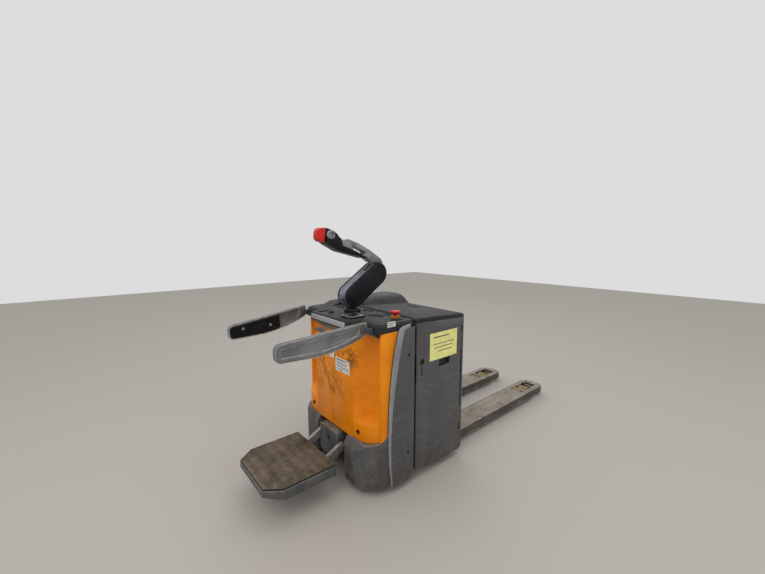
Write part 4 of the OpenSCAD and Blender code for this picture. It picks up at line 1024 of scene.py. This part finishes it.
class TRUCK_OT_labels(bpy.types.Operator):
    """Stick on the plain labels, the worn band, a black sheet of painted shade in the lock's slot, and the paper note
    """
    bl_idname = "truck.labels"
    bl_label = "Labels"

    def execute(self, context):
        sizes, colours = context.scene.truck_sizes, context.scene.truck_colours
        film = plain_finish("label_film_finish", tint(226, 224, 220), tint(196, 193, 188), 0.42, tint(150, 120, 84))
        ink = plain_finish("label_ink_finish", tint(70, 70, 72), tint(96, 96, 98), 0.6)
        paper = plain_finish("note_paper_finish", (*colours.note, 1), tint(222, 220, 136), 0.8)
        band = plain_finish("worn_band_finish", tint(108, 105, 98), tint(84, 80, 74), 0.6, tint(150, 148, 142),
                            [remnants])
        thick = sizes.label_thickness
        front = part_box("motor_hood")[0].y
        door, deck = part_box("battery_door"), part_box("deck_cover")
        box_body = body_of("battery_box")
        # each row: piece, body, slot, finish, centre, direction across, width, height, corner radius, and its bars,
        # each with its place across and up from the centre, its length and its height
        rows = (
            ("rating_label", "chassis", "hood_orange", film, (0.098, front, 0.638), X_AXIS, 0.13, 0.072, 3 * MM,
             ((-0.012, 0.026, 0.09, 0.006), (-0.006, 0.012, 0.102, 0.0035), (-0.014, 0.001, 0.086, 0.0035),
              (-0.002, -0.011, 0.108, 0.0035), (-0.024, -0.024, 0.06, 0.0035))),
            ("notice_label", "chassis", "hood_orange", film, (-0.005, front, 0.682), X_AXIS, 0.046, 0.046, 9 * MM,
             ((0, 0.007, 0.026, 0.004), (0, -0.006, 0.02, 0.004))),
            ("worn_band", "chassis", "hood_orange", band, (-0.066, front, 0.8045), X_AXIS, 0.247, 0.073, 2 * MM, ()),
            ("paper_note", "door", "switch_yellow", paper, (door[1].x, door[0].y + 0.122, 0.719), Y_AXIS, 0.226, 0.15,
             1 * MM, ((-0.02, 0.05, 0.13, 0.0065), (0.0, 0.012, 0.17, 0.0045), (-0.006, -0.008, 0.15, 0.0045),
                      (0.012, -0.03, 0.12, 0.0045))),
            # painted shade: a thin black sheet stands for the shade inside the lock's slot
            ("lock_slot_painted_shade", box_body, "bolt_black", slot_finish("bolt_black"), (door[1].x, door[0].y - 0.052, 0.607),
             Y_AXIS, 0.006, 0.05, 2 * MM, ()),
            ("rim_label", "chassis", "deck_black", film, (deck[1].x, deck[0].y + 0.143, deck[1].z - 0.024), Y_AXIS,
             0.052, 0.026, 2 * MM, ((-0.004, 0.005, 0.036, 0.0035), (-0.006, -0.005, 0.03, 0.0035))),
        )
        for name, body, slot, material, place, across, width, height, corner, bars in rows:
            form = bmesh.new()
            centre, out = Vector(place), across.cross(Z_AXIS)
            plate(form, centre, across, Z_AXIS, width, height, thick, corner)
            for x, z, long, tall in bars:
                spot = centre + across * x + Z_AXIS * z + out * thick * 0.9
                plate(form, spot, across, Z_AXIS, long, tall, thick * 0.4, tall * 0.3, 1)
            new_piece(name, mesh_from(name, form), body, slot, material, ink)
        return {"FINISHED"}


class TRUCK_OT_stage(bpy.types.Operator):
    """Set the pale floor, the soft lights and the camera"""
    bl_idname = "truck.stage"
    bl_label = "Stage"

    def execute(self, context):
        scene = context.scene
        floor = bpy.data.meshes.new("studio_floor")
        floor.from_pydata([(-9, -7, 0), (7, -7, 0), (7, 9, 0), (-9, 9, 0)], [], [(0, 1, 2, 3)])
        ground = linked("studio_floor", floor)
        finish = Finish("floor_finish")
        finish.set(Base_Color=tint(178, 173, 165), Roughness=0.75)
        floor.materials.append(finish.material)
        world = bpy.data.worlds.new("studio")
        world.use_nodes = True
        sky = world.node_tree.nodes["Background"].inputs
        sky["Color"].default_value = (0.9, 0.9, 0.9, 1)
        sky["Strength"].default_value = 0.8
        scene.world = world
        for name, place, size, power in LIGHTS:
            data = bpy.data.lights.new(name, "AREA")
            data.shape = "SQUARE"
            data.size = size
            data.energy = power
            lamp = linked(name, data)
            lamp.location = place
            lamp.rotation_euler = (LIT_SPOT - Vector(place)).to_track_quat("-Z", "Y").to_euler()
        view = bpy.data.cameras.new("camera")
        view.sensor_width = 36
        view.lens = CAMERA_LENS
        camera = linked("camera", view)
        camera.location = CAMERA_PLACE
        camera.rotation_euler = (math.radians(90 - CAMERA_DIP), 0, math.radians(CAMERA_TURN))
        scene.camera = camera
        scene.view_settings.view_transform = "Standard"
        return {"FINISHED"}


class TRUCK_PT_sidebar(bpy.types.Panel):
    """Truck settings and build steps"""
    bl_idname = "TRUCK_PT_sidebar"
    bl_label = "Pallet truck"
    bl_space_type = "VIEW_3D"
    bl_region_type = "UI"
    bl_category = "Truck"

    def draw(self, context):
        layout = self.layout
        for group in (context.scene.truck_colours, context.scene.truck_sizes):
            column = layout.column(align=True)
            for key in group.bl_rna.properties.keys():
                if key not in ("rna_type", "name"):
                    column.prop(group, key)
        for step in STEPS:
            layout.operator(step.bl_idname)


STEPS = (TRUCK_OT_finishes, TRUCK_OT_bodywork, TRUCK_OT_pads, TRUCK_OT_mat, TRUCK_OT_cover_rims, TRUCK_OT_screws,
         TRUCK_OT_display, TRUCK_OT_labels, TRUCK_OT_stage)
CLASSES = (TruckColours, TruckSizes, *STEPS, TRUCK_PT_sidebar)


def register():
    for entry in CLASSES:
        bpy.utils.register_class(entry)
    bpy.types.Scene.truck_colours = PointerProperty(type=TruckColours)
    bpy.types.Scene.truck_sizes = PointerProperty(type=TruckSizes)


def unregister():
    del bpy.types.Scene.truck_sizes
    del bpy.types.Scene.truck_colours
    for entry in reversed(CLASSES):
        bpy.utils.unregister_class(entry)


def main():
    register()
    bpy.ops.truck.finishes()
    bpy.ops.truck.bodywork()
    bpy.ops.truck.pads()
    bpy.ops.truck.mat()
    bpy.ops.truck.cover_rims()
    bpy.ops.truck.screws()
    bpy.ops.truck.display()
    bpy.ops.truck.labels()
    bpy.ops.truck.stage()


if __name__ == "__main__":
    main()
